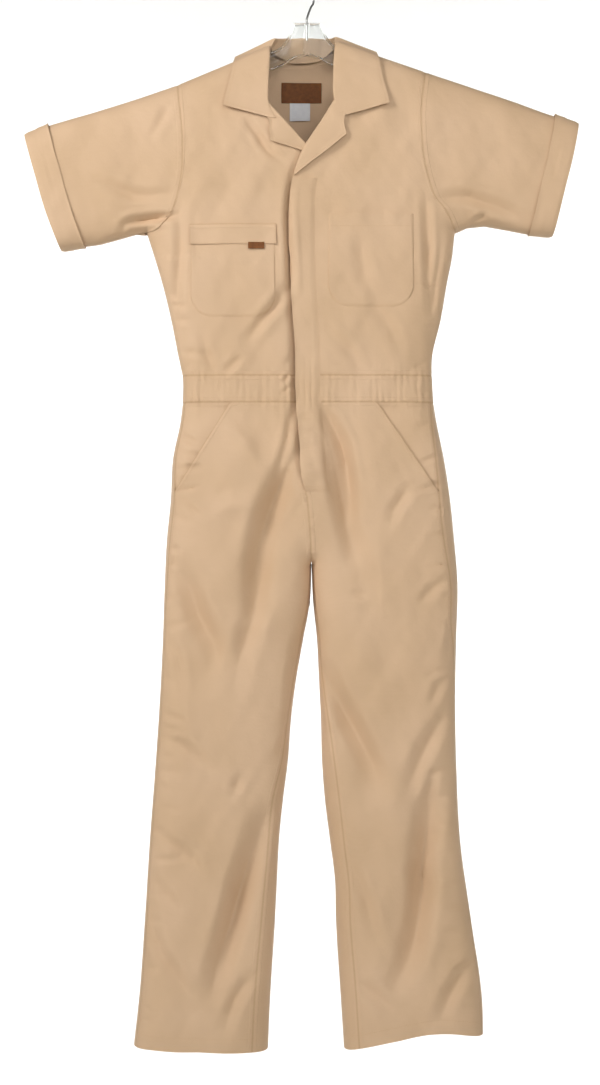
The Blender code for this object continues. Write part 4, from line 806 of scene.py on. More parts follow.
# How far the cuff stands off the sleeve from its free edge (0) to its fold (1) and back inside (2).
CUFF_STAND = ((0, 0.1, 0.9, 1.0, 1.06, 2), (0.0030, 0.0022, 0.0016, 0.0004, -0.0010, -0.0014))
FOLD_ROUND = 0.0014  # how far the cuff's fold stands past the sleeve under it
for side in ("right", "left"):
    under_cuff = [cuff_line(side, CUFF_WIDTH * share) for share in np.linspace(1, 0.08, HIDDEN_LINES)]
    points = round_sleeve(sleeve_lines(side, SLEEVE_LINES) + under_cuff[1:])
    name = f"sleeve_{side}_panel"
    cloth(name, points, poplin, sewn=("start",))
    hang(name, (f"sleeve_{side}",))
    outer_layer = [cuff_line(side, CUFF_WIDTH * share) for share in np.linspace(1, 0, CUFF_LINES)]
    inner_layer = [cuff_line(side, CUFF_WIDTH * share) for share in np.linspace(0, 0.9, TURNED_LINES)]
    points = round_sleeve(outer_layer + inner_layer[1:])
    outward = outward_of(round_sleeve(outer_layer + [cuff_line(side, -CUFF_WIDTH * 0.1)]))[:, :CUFF_LINES]
    outward = np.concatenate([outward, outward[:, -2:-1 - TURNED_LINES:-1]], axis=1)
    down_cuff = np.concatenate([np.linspace(0, 1, CUFF_LINES), np.linspace(1.06, 2, TURNED_LINES - 1)])
    lift = np.interp(down_cuff, *CUFF_STAND)
    uneven = 1 + 0.45 * np.sin(np.linspace(0, 17, len(points)))[:, None] * (down_cuff < 0.5)[None]
    past = np.interp(down_cuff, (0, 0.97, 1.0, 1.06, 2), (0, 0, 1, 0, 0)) * FOLD_ROUND
    past_fold = np.zeros_like(points)
    past_fold[..., 0] = (-1 if side == "right" else 1) * past
    points = points + outward * (lift[None] * uneven)[..., None] + past_fold
    name = f"cuff_{side}_panel"
    cloth(name, points, poplin, CLOTH / 2, -CLOTH / 2)
    hang(name, (f"cuff_{side}",))

# ---------------------------------------------------------------- The trouser legs
# Four long poplin panels, felled together at the side and inside leg with two rows of stitches. The
# backs wrap a little way round to the front, and each leg ends in a hem turned up twice.

POCKET_TOP = {"right": -0.1245, "left": 0.1132}
POCKET_FOOT = -0.8270
HEM_DEPTH, HEM_THICKNESS = 0.024, 0.0018
HEM_FALL_FROM = -1.35  # the height from which rows follow the slope of the hem
FRONT_COLUMNS, BACK_COLUMNS = 80, 92
LEG_STITCHES, BACK_STITCH = (0.0016, 0.0070), 0.0014


def leg_section(side, z):
    """Outer and inner edge of the leg at a height, and the angle at which it ends above the fork."""
    outer = column(BODY, side, z)
    if z >= CROTCH[1]:
        rise = (z - CROTCH[1]) / (WAIST_BOTTOM - CROTCH[1])
        last = math.pi - math.pi * 0.46 * min(1.0, rise / 0.45) ** 0.7
        return outer, column(CENTRE_SEAM, "across", z), last
    return outer, column(INNER_LEG, side, z), math.pi


def angle_of(inset, width):
    """The angle round the section at which the cloth is this far in from the edge."""
    return math.acos(min(1.0, max(-1.0, 1.0 - 2.0 * inset / abs(width))))


def fall_to_hem(side, across, z):
    """Heights of a row's points: level high up, following the slope of the hem near it."""
    share = np.clip((HEM_FALL_FROM - z) / (HEM_FALL_FROM - HEM_BASE), 0, 1)
    return z + (straight(eased(HEM[side], 12), across) - HEM_BASE) * share


def seam_line(side, z):
    """Where the side seam shows from the front at a height."""
    outer = column(BODY, side, z)
    return outer - math.copysign(column(SIDE_SEAM, side, z), outer)


def pocket_slant(side, z):
    """Where the slanted pocket mouth crosses a height."""
    foot = seam_line(side, POCKET_FOOT)
    return foot + (POCKET_TOP[side] - foot) * (z - POCKET_FOOT) / (WAIST_BOTTOM - POCKET_FOOT)


def front_row(side, z, across):
    """Moves a front row's ends in to the pocket mouth and out to the closing edge, or on under it."""
    if z > POCKET_FOOT:
        mouth = pocket_slant(side, z)
        across = mouth + (across - across[0]) * (across[-1] - mouth) / (across[-1] - across[0])
    if z >= FLY_END:
        share = min(1.0, (z - FLY_END) / 0.035)
        target = closing_edge(z) + (0 if side == "left" else UNDERLAP * share * share * (3 - 2 * share))
        across = across + (target - across[-1]) * np.linspace(0, 1, len(across)) ** 2
    return across


leg_heights = np.concatenate([np.linspace(WAIST_BOTTOM, FLY_END, 33),
                              np.linspace(FLY_END, CROTCH[1], 25)[1:],
                              np.linspace(CROTCH[1], HEM_BASE, 158)[1:]])
for side in ("right", "left"):
    for sheet, part in ((FRONT, "front"), (BACK, "back")):
        plan, in_front = [], []
        for z in leg_heights:
            outer, inner, last = leg_section(side, z)
            outer = column(BODY, side, fall_to_hem(side, outer, z))
            inner = column(INNER_LEG, side, fall_to_hem(side, inner, z)) if z < CROTCH[1] else inner
            width = (outer - inner) * 2 / (1 - math.cos(last))
            side_turn = angle_of(column(SIDE_SEAM, side, z), width)
            fork_turn = angle_of(column(INSEAM, side, z), width) if z <= CROTCH[1] else 0.0
            if sheet == FRONT:
                angles = np.linspace(side_turn, last - fork_turn, FRONT_COLUMNS)
            else:
                angles = np.linspace(-side_turn, last + fork_turn, BACK_COLUMNS)
            across = outer + (inner - outer) * (1 - np.cos(angles)) / (1 - math.cos(last))
            if sheet == FRONT:
                across = front_row(side, z, across)
            plan.append(np.column_stack([across, fall_to_hem(side, across, z)]))
            in_front.append((angles < 0) | (angles > math.pi) | (sheet == FRONT))
        plan, in_front = np.array(plan), np.array(in_front)[..., None]
        points = np.where(in_front, on_sheet(plan, FRONT), on_sheet(plan, BACK))
        if sheet == FRONT and side == "right":
            points = tuck_under(points)
        above_hem = from_edge(points, "top")
        turned_up = np.clip((HEM_DEPTH - above_hem) / 0.0015, 0, 1)
        name = f"leg_{part}_{side}_panel"
        cloth(name, points, poplin, 0.0, -CLOTH - HEM_THICKNESS * turned_up, sewn=("start", "end", "bottom"))
        hang(name, (f"leg_{part}_{side}",))
        topstitch("trousers", name, "top", HEM_DEPTH - 0.002)
        if sheet == FRONT:
            for distance in LEG_STITCHES:
                topstitch("trousers", name, "start", distance)
        else:
            topstitch("trousers", name, "start", BACK_STITCH, 0.3, 1.0)

# ---------------------------------------------------------------- Hip pockets
# A slanted pocket mouth on each hip, its edge turned and stitched twice, with a side piece of the
# same poplin behind it that runs on under the front.

POCKET_LAP, POCKET_SINK, FACING_COLUMNS = 0.014, 0.0034, 36
for side in ("right", "left"):
    plan, sink = [], []
    for z in np.linspace(POCKET_FOOT + 0.003, WAIST_BOTTOM, 44):
        mouth = pocket_slant(side, z)
        across = np.linspace(seam_line(side, z), mouth - math.copysign(POCKET_LAP, mouth), FACING_COLUMNS)
        plan.append(np.column_stack([across, np.full(FACING_COLUMNS, z)]))
        share = (abs(across - across[0]) + 0.003) / (abs(mouth - across[0]) + 0.003)
        sink.append(POCKET_SINK * np.clip(share, 0, 1) ** 1.4 * min(1.0, (WAIST_BOTTOM - z) / 0.012 + 0.15))
    points = on_sheet(np.array(plan), FRONT)
    outward = outward_of(points)
    name = f"pocket_facing_{side}_panel"
    cloth(name, points - outward * np.array(sink)[..., None], poplin, sewn=("start", "top"), outward=outward)
    hang(name, (f"pocket_facing_{side}",))

# ---------------------------------------------------------------- The placket and the fly
# A strip of doubled poplin down the left front's edge that hides the snaps, and below the waist the
# fly, which is the same strip sewn on the leg. Each is stitched down along its inner side.

EDGE_OVERHANG, STRIP_TOP = 0.0004, -0.3225
STRIP_STITCH, FLY_STITCHES = 0.0022, (0.0030, 0.0080)
DOUBLE = 2 * CLOTH


def closing_strip(high, low, rows, columns=22):
    """Places over a strip of the placket's width beside the closing edge."""
    heights = np.linspace(low, high, rows)
    edge = closing_edge(heights)
    return np.array([np.column_stack([np.linspace(start - EDGE_OVERHANG, start + PLACKET_WIDTH, columns),
                                      np.full(columns, z)]) for start, z in zip(edge, heights)])


def lies_on(plan, height, soft_edges, over=0.0012):
    """Points over the front sheet raised by a height that falls away at the edges named."""
    points = on_sheet(plan, FRONT)
    raised = np.full(points.shape[:2], float(height))
    for edge in soft_edges:
        raised = raised * (1 - 0.85 * np.exp(-(from_edge(points, edge) / over) ** 2))
    return points, raised


for name, node, high, low, rows, below in (
        ("placket_strip", "placket", STRIP_TOP, WAIST_BOTTOM - 0.0125, 92, "front_left_panel"),
        ("fly_strip", "fly", WAIST_BOTTOM - 0.0120, FLY_END + 0.004, 34, "leg_front_left_panel")):
    plan = closing_strip(high, low, rows)
    sewn_down = ("end",) if node == "placket" else ("end", "bottom")
    points, raised = lies_on(plan, LIFT + DOUBLE, sewn_down, 0.0055)
    cloth(name, points, poplin, raised, LIFT - 0.0012)
    hang(name, (node,))
    group = "bodice" if node == "placket" else "trousers"
    topstitch(group, name, "end", STRIP_STITCH)
    if node == "placket":
        topstitch(group, name, "start", STRIP_STITCH)
        continue
    for distance in FLY_STITCHES:
        topstitch(group, name, "bottom", distance)

# ---------------------------------------------------------------- Chest pockets
# Two patch pockets with round lower corners, the left one open, the right one under a plain flap
# with a small tab of brown bonded leather sewn into its edge.

CHEST_POCKET = {
    "right": {"from": -0.1872, "to": -0.0515, "top": -0.4080, "foot": -0.5452, "corner": 0.034},
    "left": {"from": 0.0347, "to": 0.1714, "top": -0.3797, "foot": -0.5291, "corner": 0.034},
}
FLAP = {"from": -0.1896, "to": -0.0500, "top": -0.3959, "foot": -0.4285}
TAB = {"from": -0.0948, "to": -0.0685, "top": -0.4260, "foot": -0.4365}
PATCH_STITCH, POCKET_HEM, POCKET_GAPE = 0.0018, 0.0200, 0.0016
PATCH_COLUMNS, PATCH_ROWS = 44, 40
FLAP_COLUMNS, FLAP_ROWS, FLAP_STAND, FLAP_WAVE = 48, 14, 0.0013, 0.0009
TAB_STAND, LEATHER = 0.0042, 0.0011


def rounded_pocket(pocket):
    """A plan with a straight top and sides and two round lower corners."""
    radius, foot, turn = pocket["corner"], pocket["foot"], np.linspace(0, math.pi / 2, 16)
    left = [(pocket["from"] + radius * (1 - math.cos(a)), foot + radius * (1 - math.sin(a))) for a in turn]
    right = [(pocket["to"] - radius * (1 - math.cos(a)), foot + radius * (1 - math.sin(a)))
             for a in turn[::-1]]
    bottom = spread(left + right, PATCH_COLUMNS)
    top = spread([(pocket["from"], pocket["top"]), (pocket["to"], pocket["top"])], PATCH_COLUMNS)
    sides = (spread([bottom[end], top[end]], PATCH_ROWS) for end in (0, -1))
    return coons(bottom, top, *sides)


def rectangle(box, columns, rows):
    bottom = spread([(box["from"], box["foot"]), (box["to"], box["foot"])], columns)
    top = spread([(box["from"], box["top"]), (box["to"], box["top"])], columns)
    return coons(bottom, top, spread([bottom[0], top[0]], rows), spread([bottom[-1], top[-1]], rows))


for side in ("right", "left"):
    name = f"chest_pocket_{side}_patch"
    points, raised = lies_on(rounded_pocket(CHEST_POCKET[side]), LIFT + CLOTH, ("start", "end", "bottom"))
    share = np.linspace(0, 1, PATCH_ROWS)[:, None] * np.sin(np.linspace(0, math.pi, PATCH_COLUMNS))[None]
    raised = raised + POCKET_GAPE * share ** 3 * (side == "left")
    cloth(name, points, poplin, raised, raised - CLOTH - 0.0002)
    hang(name, (f"chest_pocket_{side}",))
    for edge in ("start", "end", "bottom"):
        topstitch("small_pieces", name, edge, PATCH_STITCH)
    if side == "left":
        topstitch("small_pieces", name, "top", POCKET_HEM)
points, raised = lies_on(rectangle(FLAP, FLAP_COLUMNS, FLAP_ROWS), LIFT + CLOTH, ("top",), 0.003)
wave = 0.7 + 0.5 * np.sin(np.linspace(0.4, 7.5, FLAP_COLUMNS))[None]
raised = raised + FLAP_STAND + FLAP_WAVE * (np.linspace(1, 0, FLAP_ROWS)[:, None] ** 1.5 * wave)
cloth("pocket_flap_patch", points, poplin, raised, raised - DOUBLE * 0.8, sewn=("top",))
hang("pocket_flap_patch", ("pocket_flap",))
for edge in ("start", "end", "bottom"):
    topstitch("small_pieces", "pocket_flap_patch", edge, PATCH_STITCH)

leather, tree, shader = new_material("bonded_leather_embossed", Roughness=0.62, Specular_IOR_Level=0.35)
# Pressed from ground hide on a backing: a dull red-brown, mottled, darker in its grain.
place = add(tree, "ShaderNodeTexCoord").outputs["Object"]
grain = add(tree, "ShaderNodeTexVoronoi", {"Vector": place, "Scale": 1 / 0.0011})
mottle = add(tree, "ShaderNodeTexNoise", {"Vector": place, "Scale": 1 / 0.006, "Detail": 4.0})
browns = add(tree, "ShaderNodeMix", {"Factor": mottle.outputs["Fac"], "A": paint("#57300F"),
                                     "B": paint("#8E5422")}, data_type="RGBA")
tree.links.new(browns.outputs[2], shader.inputs["Base Color"])
hide = add(tree, "ShaderNodeMath", {0: grain.outputs["Distance"], 1: mottle.outputs["Fac"]}, operation="ADD")
tree.links.new(add(tree, "ShaderNodeBump", {"Height": hide.outputs[0], "Distance": 0.00022,
                                            "Strength": 0.9}).outputs["Normal"], shader.inputs["Normal"])

points, raised = lies_on(rectangle(TAB, 20, 8), TAB_STAND, ())
cloth("flap_tab", points, leather, raised, raised - LEATHER)
hang("flap_tab", ("pocket_tab",))

# ---------------------------------------------------------------- Lapels
# The tops of the fronts, faced in the same poplin, rolled back along a soft edge and left to stand a
# few millimetres off the chest.

LAPEL = {
    "right": {"roll": ((-0.0640, -0.2010), (-0.0545, -0.2110), (-0.0280, -0.2400), (-0.0020, -0.2688)),
              "edge": ((-0.0760, -0.2080), (-0.0605, -0.2300), (-0.0606, -0.2474), (-0.0594, -0.2631),
                       (-0.0330, -0.2705), (-0.0066, -0.2789))},
    "left": {"roll": ((0.0462, -0.1950), (0.0230, -0.2320), (-0.0015, -0.2690), (-0.0130, -0.2930),
                      (-0.0205, -0.3150)),
             "edge": ((0.0640, -0.2050), (0.0590, -0.2340), (0.0636, -0.2523), (0.0470, -0.2660),
                      (0.0308, -0.2793), (0.0059, -0.2974), (-0.0205, -0.3187))},
}
LAPEL_STAND = {"right": 0.0030, "left": 0.0042}
LAPEL_ROWS, LAPEL_COLUMNS, LAPEL_STITCH = 70, 22, 0.0045
# The columns past the roll: how far each is from it toward the edge, and where that is across the lapel.
PAST_ROLL, PAST_ACROSS = (0.0009, 0.0011, 0.0004, -0.0040), [1.05, 1.1, 1.15, 1.3]
TIP_RISE, SOFT_WAVE = 0.0030, 0.0007
for side in ("right", "left"):
    roll, edge = curve(LAPEL[side]["roll"], LAPEL_ROWS), spread(LAPEL[side]["edge"], LAPEL_ROWS)
    share = np.linspace(0, 1, LAPEL_COLUMNS)[None, :, None]
    plan = edge[:, None] * (1 - share) + roll[:, None] * share
    away = roll - edge
    away = away / np.linalg.norm(away, axis=1, keepdims=True)
    round_roll = [roll[:, None] + away[:, None] * step for step in PAST_ROLL]
    plan = np.concatenate([plan] + round_roll, axis=1)
    points = on_sheet(plan, FRONT)
    across = np.concatenate([np.linspace(0, 1, LAPEL_COLUMNS), PAST_ACROSS])
    stand = LAPEL_STAND[side]
    height = np.interp(across, (0, 0.25, 0.85, 1.0, 1.05, 1.1, 1.15, 1.3),
                       (stand + 0.0010, stand, stand, 0.0032, 0.0024, 0.0012, 0.0002, -0.0014))
    along = np.linspace(0, 1, LAPEL_ROWS)
    tip = np.exp(-((along - 0.42) / 0.18) ** 2)[:, None] * np.clip(1 - across, 0, 1)[None]
    fade = np.interp(along, (0, 0.9, 1.0), (1.0, 1.0, 0.45))[:, None]
    soft = SOFT_WAVE * np.sin(9 * along + 2.0)[:, None] * np.sin(np.pi * np.clip(across, 0, 1))[None]
    height = (height[None] + TIP_RISE * tip + soft) * fade
    points[..., 1] -= height
    name = f"lapel_{side}_panel"
    cloth(name, points, poplin, CLOTH * 0.7, -CLOTH * 0.7)
    hang(name, (f"lapel_{side}",))
    topstitch("small_pieces", name, "start", LAPEL_STITCH, 0.10, 0.98)

# ---------------------------------------------------------------- The collar
# A one-piece convertible collar in two layers of poplin: a low stand up from the neck seam, a soft
# roll, and a wide leaf pressed down over the shoulders, with long points that lift a little.

# Stations round the neck from the right front end, by the back, to the left front end. seam is where
# the collar meets the neck, fold the top of its roll, edge the outer edge of the leaf.
COLLAR = (
    {"on": FRONT, "seam": (-0.0500, -0.2250), "fold": (-0.0535, -0.2262), "edge": (-0.1347, -0.2057)},
    {"on": FRONT, "seam": (-0.0610, -0.1990), "fold": (-0.0640, -0.2010), "edge": (-0.1325, -0.1940)},
    {"on": FRONT, "seam": (-0.0625, -0.1650), "fold": (-0.0640, -0.1670), "edge": (-0.1270, -0.1700)},
    {"on": FRONT, "seam": (-0.0615, -0.1350), "fold": (-0.0625, -0.1300), "edge": (-0.1215, -0.1450)},
    {"on": FRONT, "seam": (-0.0612, -0.1220), "fold": (-0.0612, -0.1150), "edge": (-0.1200, -0.1380)},
    {"on": FRONT, "seam": (-0.0605, -0.1120), "fold": (-0.0590, -0.1010), "edge": (-0.1188, -0.1300)},
    {"on": 0, "seam": (-0.0590, -0.1030), "fold": (-0.0540, -0.0890), "edge": (-0.1165, -0.1180)},
    {"on": BACK, "seam": (-0.0580, -0.1040), "fold": (-0.0505, -0.0865), "edge": (-0.1150, -0.1275)},
    {"on": BACK, "seam": (-0.0560, -0.1070), "fold": (-0.0450, -0.0850), "edge": (-0.1060, -0.1400)},
    {"on": BACK, "seam": (-0.0330, -0.1210), "fold": (-0.0280, -0.0810), "edge": (-0.0680, -0.1590)},
    {"on": BACK, "seam": (-0.0060, -0.1220), "fold": (-0.0060, -0.0800), "edge": (-0.0060, -0.1650)},
    {"on": BACK, "seam": (0.0220, -0.1180), "fold": (0.0190, -0.0810), "edge": (0.0560, -0.1570)},
    {"on": BACK, "seam": (0.0440, -0.1020), "fold": (0.0390, -0.0840), "edge": (0.0980, -0.1340)},
    {"on": BACK, "seam": (0.0458, -0.0970), "fold": (0.0440, -0.0845), "edge": (0.1080, -0.1205)},
    {"on": 0, "seam": (0.0465, -0.0950), "fold": (0.0480, -0.0860), "edge": (0.1120, -0.1100)},
    {"on": FRONT, "seam": (0.0460, -0.1050), "fold": (0.0475, -0.0960), "edge": (0.1153, -0.1225)},
    {"on": FRONT, "seam": (0.0450, -0.1200), "fold": (0.0462, -0.1110), "edge": (0.1170, -0.1320)},
    {"on": FRONT, "seam": (0.0435, -0.1350), "fold": (0.0450, -0.1290), "edge": (0.1190, -0.1450)},
    {"on": FRONT, "seam": (0.0425, -0.1650), "fold": (0.0440, -0.1640), "edge": (0.1245, -0.1690)},
    {"on": FRONT, "seam": (0.0425, -0.1860), "fold": (0.0450, -0.1900), "edge": (0.1300, -0.1900)},
    {"on": FRONT, "seam": (0.0490, -0.2220), "fold": (0.0525, -0.2235), "edge": (0.1321, -0.2023)},
)
COLLAR_LIFT, SHOULDER_LIFT, TIP_LIFT = 0.0044, 0.0040, 0.0035
ROLL_RADIUS, COLLAR_STITCH = 0.0022, 0.0055


def collar_section(station, at_end):
    """Points from the neck seam up inside the stand, over the roll and down the leaf to its edge."""
    sheet = station["on"]
    (seam_x, seam_z), (fold_x, fold_z), (edge_x, edge_z) = (station[key] for key in ("seam", "fold", "edge"))
    seam_y = sheet * max(0.0, float(depth(seam_x, seam_z, sheet or FRONT)) - 0.004)
    fold_y = seam_y + 0.003 * (sheet == BACK)
    if sheet == FRONT:
        fold_y = -float(depth(fold_x, fold_z, FRONT)) - COLLAR_LIFT
    if at_end:
        seam_y = fold_y
    seam, fold = np.array([seam_x, seam_y, seam_z]), np.array([fold_x, fold_y, fold_z])
    edge = np.array([edge_x, sheet * (float(depth(edge_x, edge_z, sheet or FRONT)) + COLLAR_LIFT), edge_z])
    away = np.array([edge[0] - fold[0], 0.0 if sheet == FRONT else edge[1] - fold[1], 0])
    away /= np.linalg.norm(away)
    tight = fold - away * ROLL_RADIUS * 0.6 + (seam - fold) * 0.12
    points = [seam, seam + (fold - seam) * 0.55, (seam + 2 * fold) / 3 if at_end else tight, fold]
    for share in (0.08, 0.36, 0.68, 1.0):
        points.append(fold + (edge - fold) * share + away * ROLL_RADIUS * (1 - share))
    return points


last = len(COLLAR) - 1
points = np.array([collar_section(station, k in (0, last)) for k, station in enumerate(COLLAR)])
points = eased(eased(points, 9).swapaxes(0, 1), 5).swapaxes(0, 1)
down_leaf = np.clip((np.arange(points.shape[1]) - 15) / (points.shape[1] - 16), 0, 1)
station_at = np.linspace(0, last, points.shape[0])
tips = np.exp(-(station_at / 1.5) ** 2) + np.exp(-((last - station_at) / 1.5) ** 2)
sheet_side = np.where(points[..., 1] > 0, BACK, FRONT)
under = np.where(sheet_side == BACK, depth(points[..., 0], points[..., 2], BACK),
                 depth(points[..., 0], points[..., 2], FRONT))
below_top = top_height(points[..., 0]) - points[..., 2]
on_shoulder = np.clip(1 - below_top / 0.03, 0, 1)
clear = under + COLLAR_LIFT + SHOULDER_LIFT * on_shoulder + TIP_LIFT * tips[:, None] * down_leaf[None] ** 2
clear = np.where((down_leaf[None] > 0) & (below_top > 0), clear, 0)
points[..., 1] = sheet_side * np.maximum(np.abs(points[..., 1]), clear)
cloth("collar_leaf", points, poplin, CLOTH * 0.8, -CLOTH * 0.8)
hang("collar_leaf", ("collar",))
topstitch("small_pieces", "collar_leaf", "end", COLLAR_STITCH)
for edge in ("bottom", "top"):
    topstitch("small_pieces", "collar_leaf", edge, COLLAR_STITCH, 0.45, 1.0)

# ---------------------------------------------------------------- Labels
# A bonded leather label sewn inside the back of the neck, with a pressed border, and a satin tape
# label caught under it. Both are left without words.

NECK_LABEL = {"from": -0.0420, "to": 0.0240, "top": -0.1519, "foot": -0.1848}
CARE_LABEL = {"from": -0.0282, "to": 0.0052, "top": -0.1820, "foot": -0.2140}
PRESSED_BORDER, LABEL_GAP = 0.0030, 0.0006
TAPE_COLUMNS, TAPE_ROWS, TAPE, TAPE_GAP, TAPE_FALL = 24, 26, 0.0005, 0.0004, 0.0024


def inside_back(box, columns, rows, height):
    """Points over the inside of the back panel, this far in from it."""
    points = on_sheet(rectangle(box, columns, rows), BACK)
    return points - outward_of(points) * (CLOTH + height)


points = inside_back(NECK_LABEL, 70, 36, LABEL_GAP)
near_edge = np.minimum.reduce([from_edge(points, edge) for edge in ("start", "end", "bottom", "top")])
pressed = (0.00035 * np.exp(-((near_edge - PRESSED_BORDER) / 0.0006) ** 2)
           + 0.00022 * np.exp(-((near_edge - 1.8 * PRESSED_BORDER) / 0.0004) ** 2)
           + 0.0003 * np.exp(-(near_edge / 0.0004) ** 2))
cloth("leather_neck_label", points, leather, 0.0, -LEATHER + pressed)
hang("leather_neck_label", ("neck_label",))

satin, tree, shader = new_material("polyester_satin_tape_woven", Roughness=0.42, Sheen_Weight=0.2,
                                   Specular_IOR_Level=0.45)
# Close-woven satin: a cold white with a slight shine and a fine lengthwise rib.
tape_map = add(tree, "ShaderNodeUVMap", uv_map="weave").outputs["UV"]
tape_cloud = add(tree, "ShaderNodeTexNoise", {"Vector": tape_map, "Scale": 1 / 0.008, "Detail": 2.0})
whites = add(tree, "ShaderNodeMix", {"Factor": tape_cloud.outputs["Fac"], "A": paint("#D3D4D8"),
                                     "B": paint("#E6E6E8")}, data_type="RGBA")
tree.links.new(whites.outputs[2], shader.inputs["Base Color"])
tape_rib = add(tree, "ShaderNodeTexWave", {"Vector": tape_map, "Scale": 2 * math.pi / (20 * 0.0008)},
               bands_direction="X")
tree.links.new(add(tree, "ShaderNodeBump", {"Height": tape_rib.outputs["Fac"], "Distance": 0.00004,
                                            "Strength": 0.6}).outputs["Normal"], shader.inputs["Normal"])
points = inside_back(CARE_LABEL, TAPE_COLUMNS, TAPE_ROWS, TAPE_GAP)
hangs = np.linspace(1, 0, TAPE_ROWS)[:, None]
points[..., 1] -= TAPE_FALL * hangs ** 2 * (0.6 + 0.5 * np.sin(np.linspace(0, 2.6, TAPE_COLUMNS))[None])
cloth("satin_care_label", points, satin, 0.0, -TAPE)
hang("satin_care_label", ("care_label",))

# ---------------------------------------------------------------- The hanger
# A display hanger injection moulded in clear polystyrene: a thin web inside a deeper rim, and a
# flared hub with a central rib that the hook is pushed into. Light runs along its bright edges. It
# bends light less than polystyrene does (1.59), so that the hub stays clear against the pale paper.

HANGER_DEPTH, WEB, RIM, RIB = 0.010, 0.0024, 0.0028, 0.0096
HUB_TOP, HUB_FOOT = -0.0630, -0.1150
CLEAR_IOR = 1.30
# Each side of the hanger from the top of the hub, out along the arm and back under it.
HANGER_SIDE = {
    "right": ((-0.0215, -0.0630), (-0.0240, -0.0680), (-0.0303, -0.0850), (-0.0394, -0.0990),
              (-0.0500, -0.1070), (-0.0700, -0.1130), (-0.1255, -0.1330), (-0.1750, -0.1535),
              (-0.1960, -0.1640), (-0.1990, -0.1690), (-0.1950, -0.1730), (-0.1700, -0.1680),
              (-0.1250, -0.1540), (-0.0531, -0.1375), (-0.0200, -0.1200)),
    "left": ((0.0215, -0.0630), (0.0245, -0.0690), (0.0326, -0.0863), (0.0400, -0.0960),
             (0.0500, -0.1030), (0.0700, -0.1080), (0.1200, -0.1222), (0.1600, -0.1360),
             (0.1790, -0.1440), (0.1820, -0.1490), (0.1780, -0.1530), (0.1550, -0.1495),
             (0.1100, -0.1420), (0.0473, -0.1330), (0.0180, -0.1200)),
}
WIRE_RADIUS, HOOK_IN = 0.0019, 0.028

clear_plastic, tree, shader = new_material("crystal_polystyrene_moulded", Roughness=0.05, IOR=CLEAR_IOR,
                                           Transmission_Weight=1.0)
shader.inputs["Base Color"].default_value = paint("#F7F9F8")
place = add(tree, "ShaderNodeTexCoord").outputs["Object"]
flow = add(tree, "ShaderNodeTexNoise", {"Vector": place, "Scale": 1 / 0.012, "Detail": 2.0})
tree.links.new(add(tree, "ShaderNodeBump", {"Height": flow.outputs["Fac"], "Distance": 0.0004,
                                            "Strength": 0.25}).outputs["Normal"], shader.inputs["Normal"])


def prism(name, outline, near, far):
    """A solid with this (x, z) outline between two values of y."""
    count = len(outline)
    points = [(x, near, z) for x, z in outline] + [(x, far, z) for x, z in outline]
    faces = [tuple(range(count)), tuple(reversed(range(count, 2 * count)))]
    faces += [(k, count + k, count + (k + 1) % count, (k + 1) % count) for k in range(count)]
    mesh = bpy.data.meshes.new(name)
    mesh.from_pydata([tuple(map(float, p)) for p in points], [], faces)
    mesh.materials.append(clear_plastic)
    shell = bmesh.new()
    shell.from_mesh(mesh)
    bmesh.ops.recalc_face_normals(shell, faces=shell.faces)
    shell.to_mesh(mesh)
    shell.free()
    made = bpy.data.objects.new(name, mesh)
    bpy.context.scene.collection.objects.link(made)
    return made


def inset(outline, distance):
    """The same closed outline drawn in by a distance, corner by corner."""
    outline = np.array(outline)
    ahead = np.roll(outline, -1, axis=0) - outline
    area = np.sum(outline[:, 0] * np.roll(outline[:, 1], -1) - np.roll(outline[:, 0], -1) * outline[:, 1])
    ahead /= np.linalg.norm(ahead, axis=1, keepdims=True) * math.copysign(1, area)
    behind = np.roll(ahead, 1, axis=0)
    inward = np.column_stack([-(ahead + behind)[:, 1], (ahead + behind)[:, 0]])
    inward /= np.linalg.norm(inward, axis=1, keepdims=True)
    square_on = np.einsum("ij,ij->i", inward, np.column_stack([-ahead[:, 1], ahead[:, 0]]))
    return outline + inward * (distance / np.maximum(square_on, 0.5))[:, None]


arms = {side: curve(HANGER_SIDE[side], 64) for side in ("right", "left")}
outline = np.vstack([[(0.0, HUB_TOP)], arms["left"], [(0.0, HUB_FOOT)], arms["right"][::-1]])
hanger = prism("clear_hanger", outline, -HANGER_DEPTH / 2, HANGER_DEPTH / 2)
cutters = []
for side, toward in (("right", -1), ("left", 1)):
    start = toward * (RIB / 2 - RIM)
    half = np.vstack([[(start, HUB_TOP)], arms[side], [(start, HUB_FOOT)]])
    for face in (FRONT, BACK):
        recess = prism(f"recess_{side}_{face + 1}", inset(half, RIM), face * WEB / 2, face * HANGER_DEPTH)
        cutters.append(recess)
for cutter in cutters:
    step = hanger.modifiers.new(cutter.name, "BOOLEAN")
    step.operation, step.object, step.solver = "DIFFERENCE", cutter, "EXACT"
rounding = hanger.modifiers.new("moulded_edges", "BEVEL")
rounding.width, rounding.segments, rounding.limit_method = 0.0006, 2, "ANGLE"
rounding.angle_limit = math.radians(40)
bpy.context.view_layer.update()
finished = bpy.data.meshes.new_from_object(hanger.evaluated_get(bpy.context.evaluated_depsgraph_get()))
hanger.modifiers.clear()
hanger.data = finished
hanger.data.shade_smooth()
hanger.data.set_sharp_from_angle(angle=math.radians(35))
for cutter in cutters:
    bpy.data.objects.remove(cutter)
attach(hanger, "root")
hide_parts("hanger")

# ---------------------------------------------------------------- The hook
# A swivel hook of drawn steel wire, bright zinc plated, pushed into the hub: a short stem and most of
# a circle, turned out of the suit's plane to meet the rail.

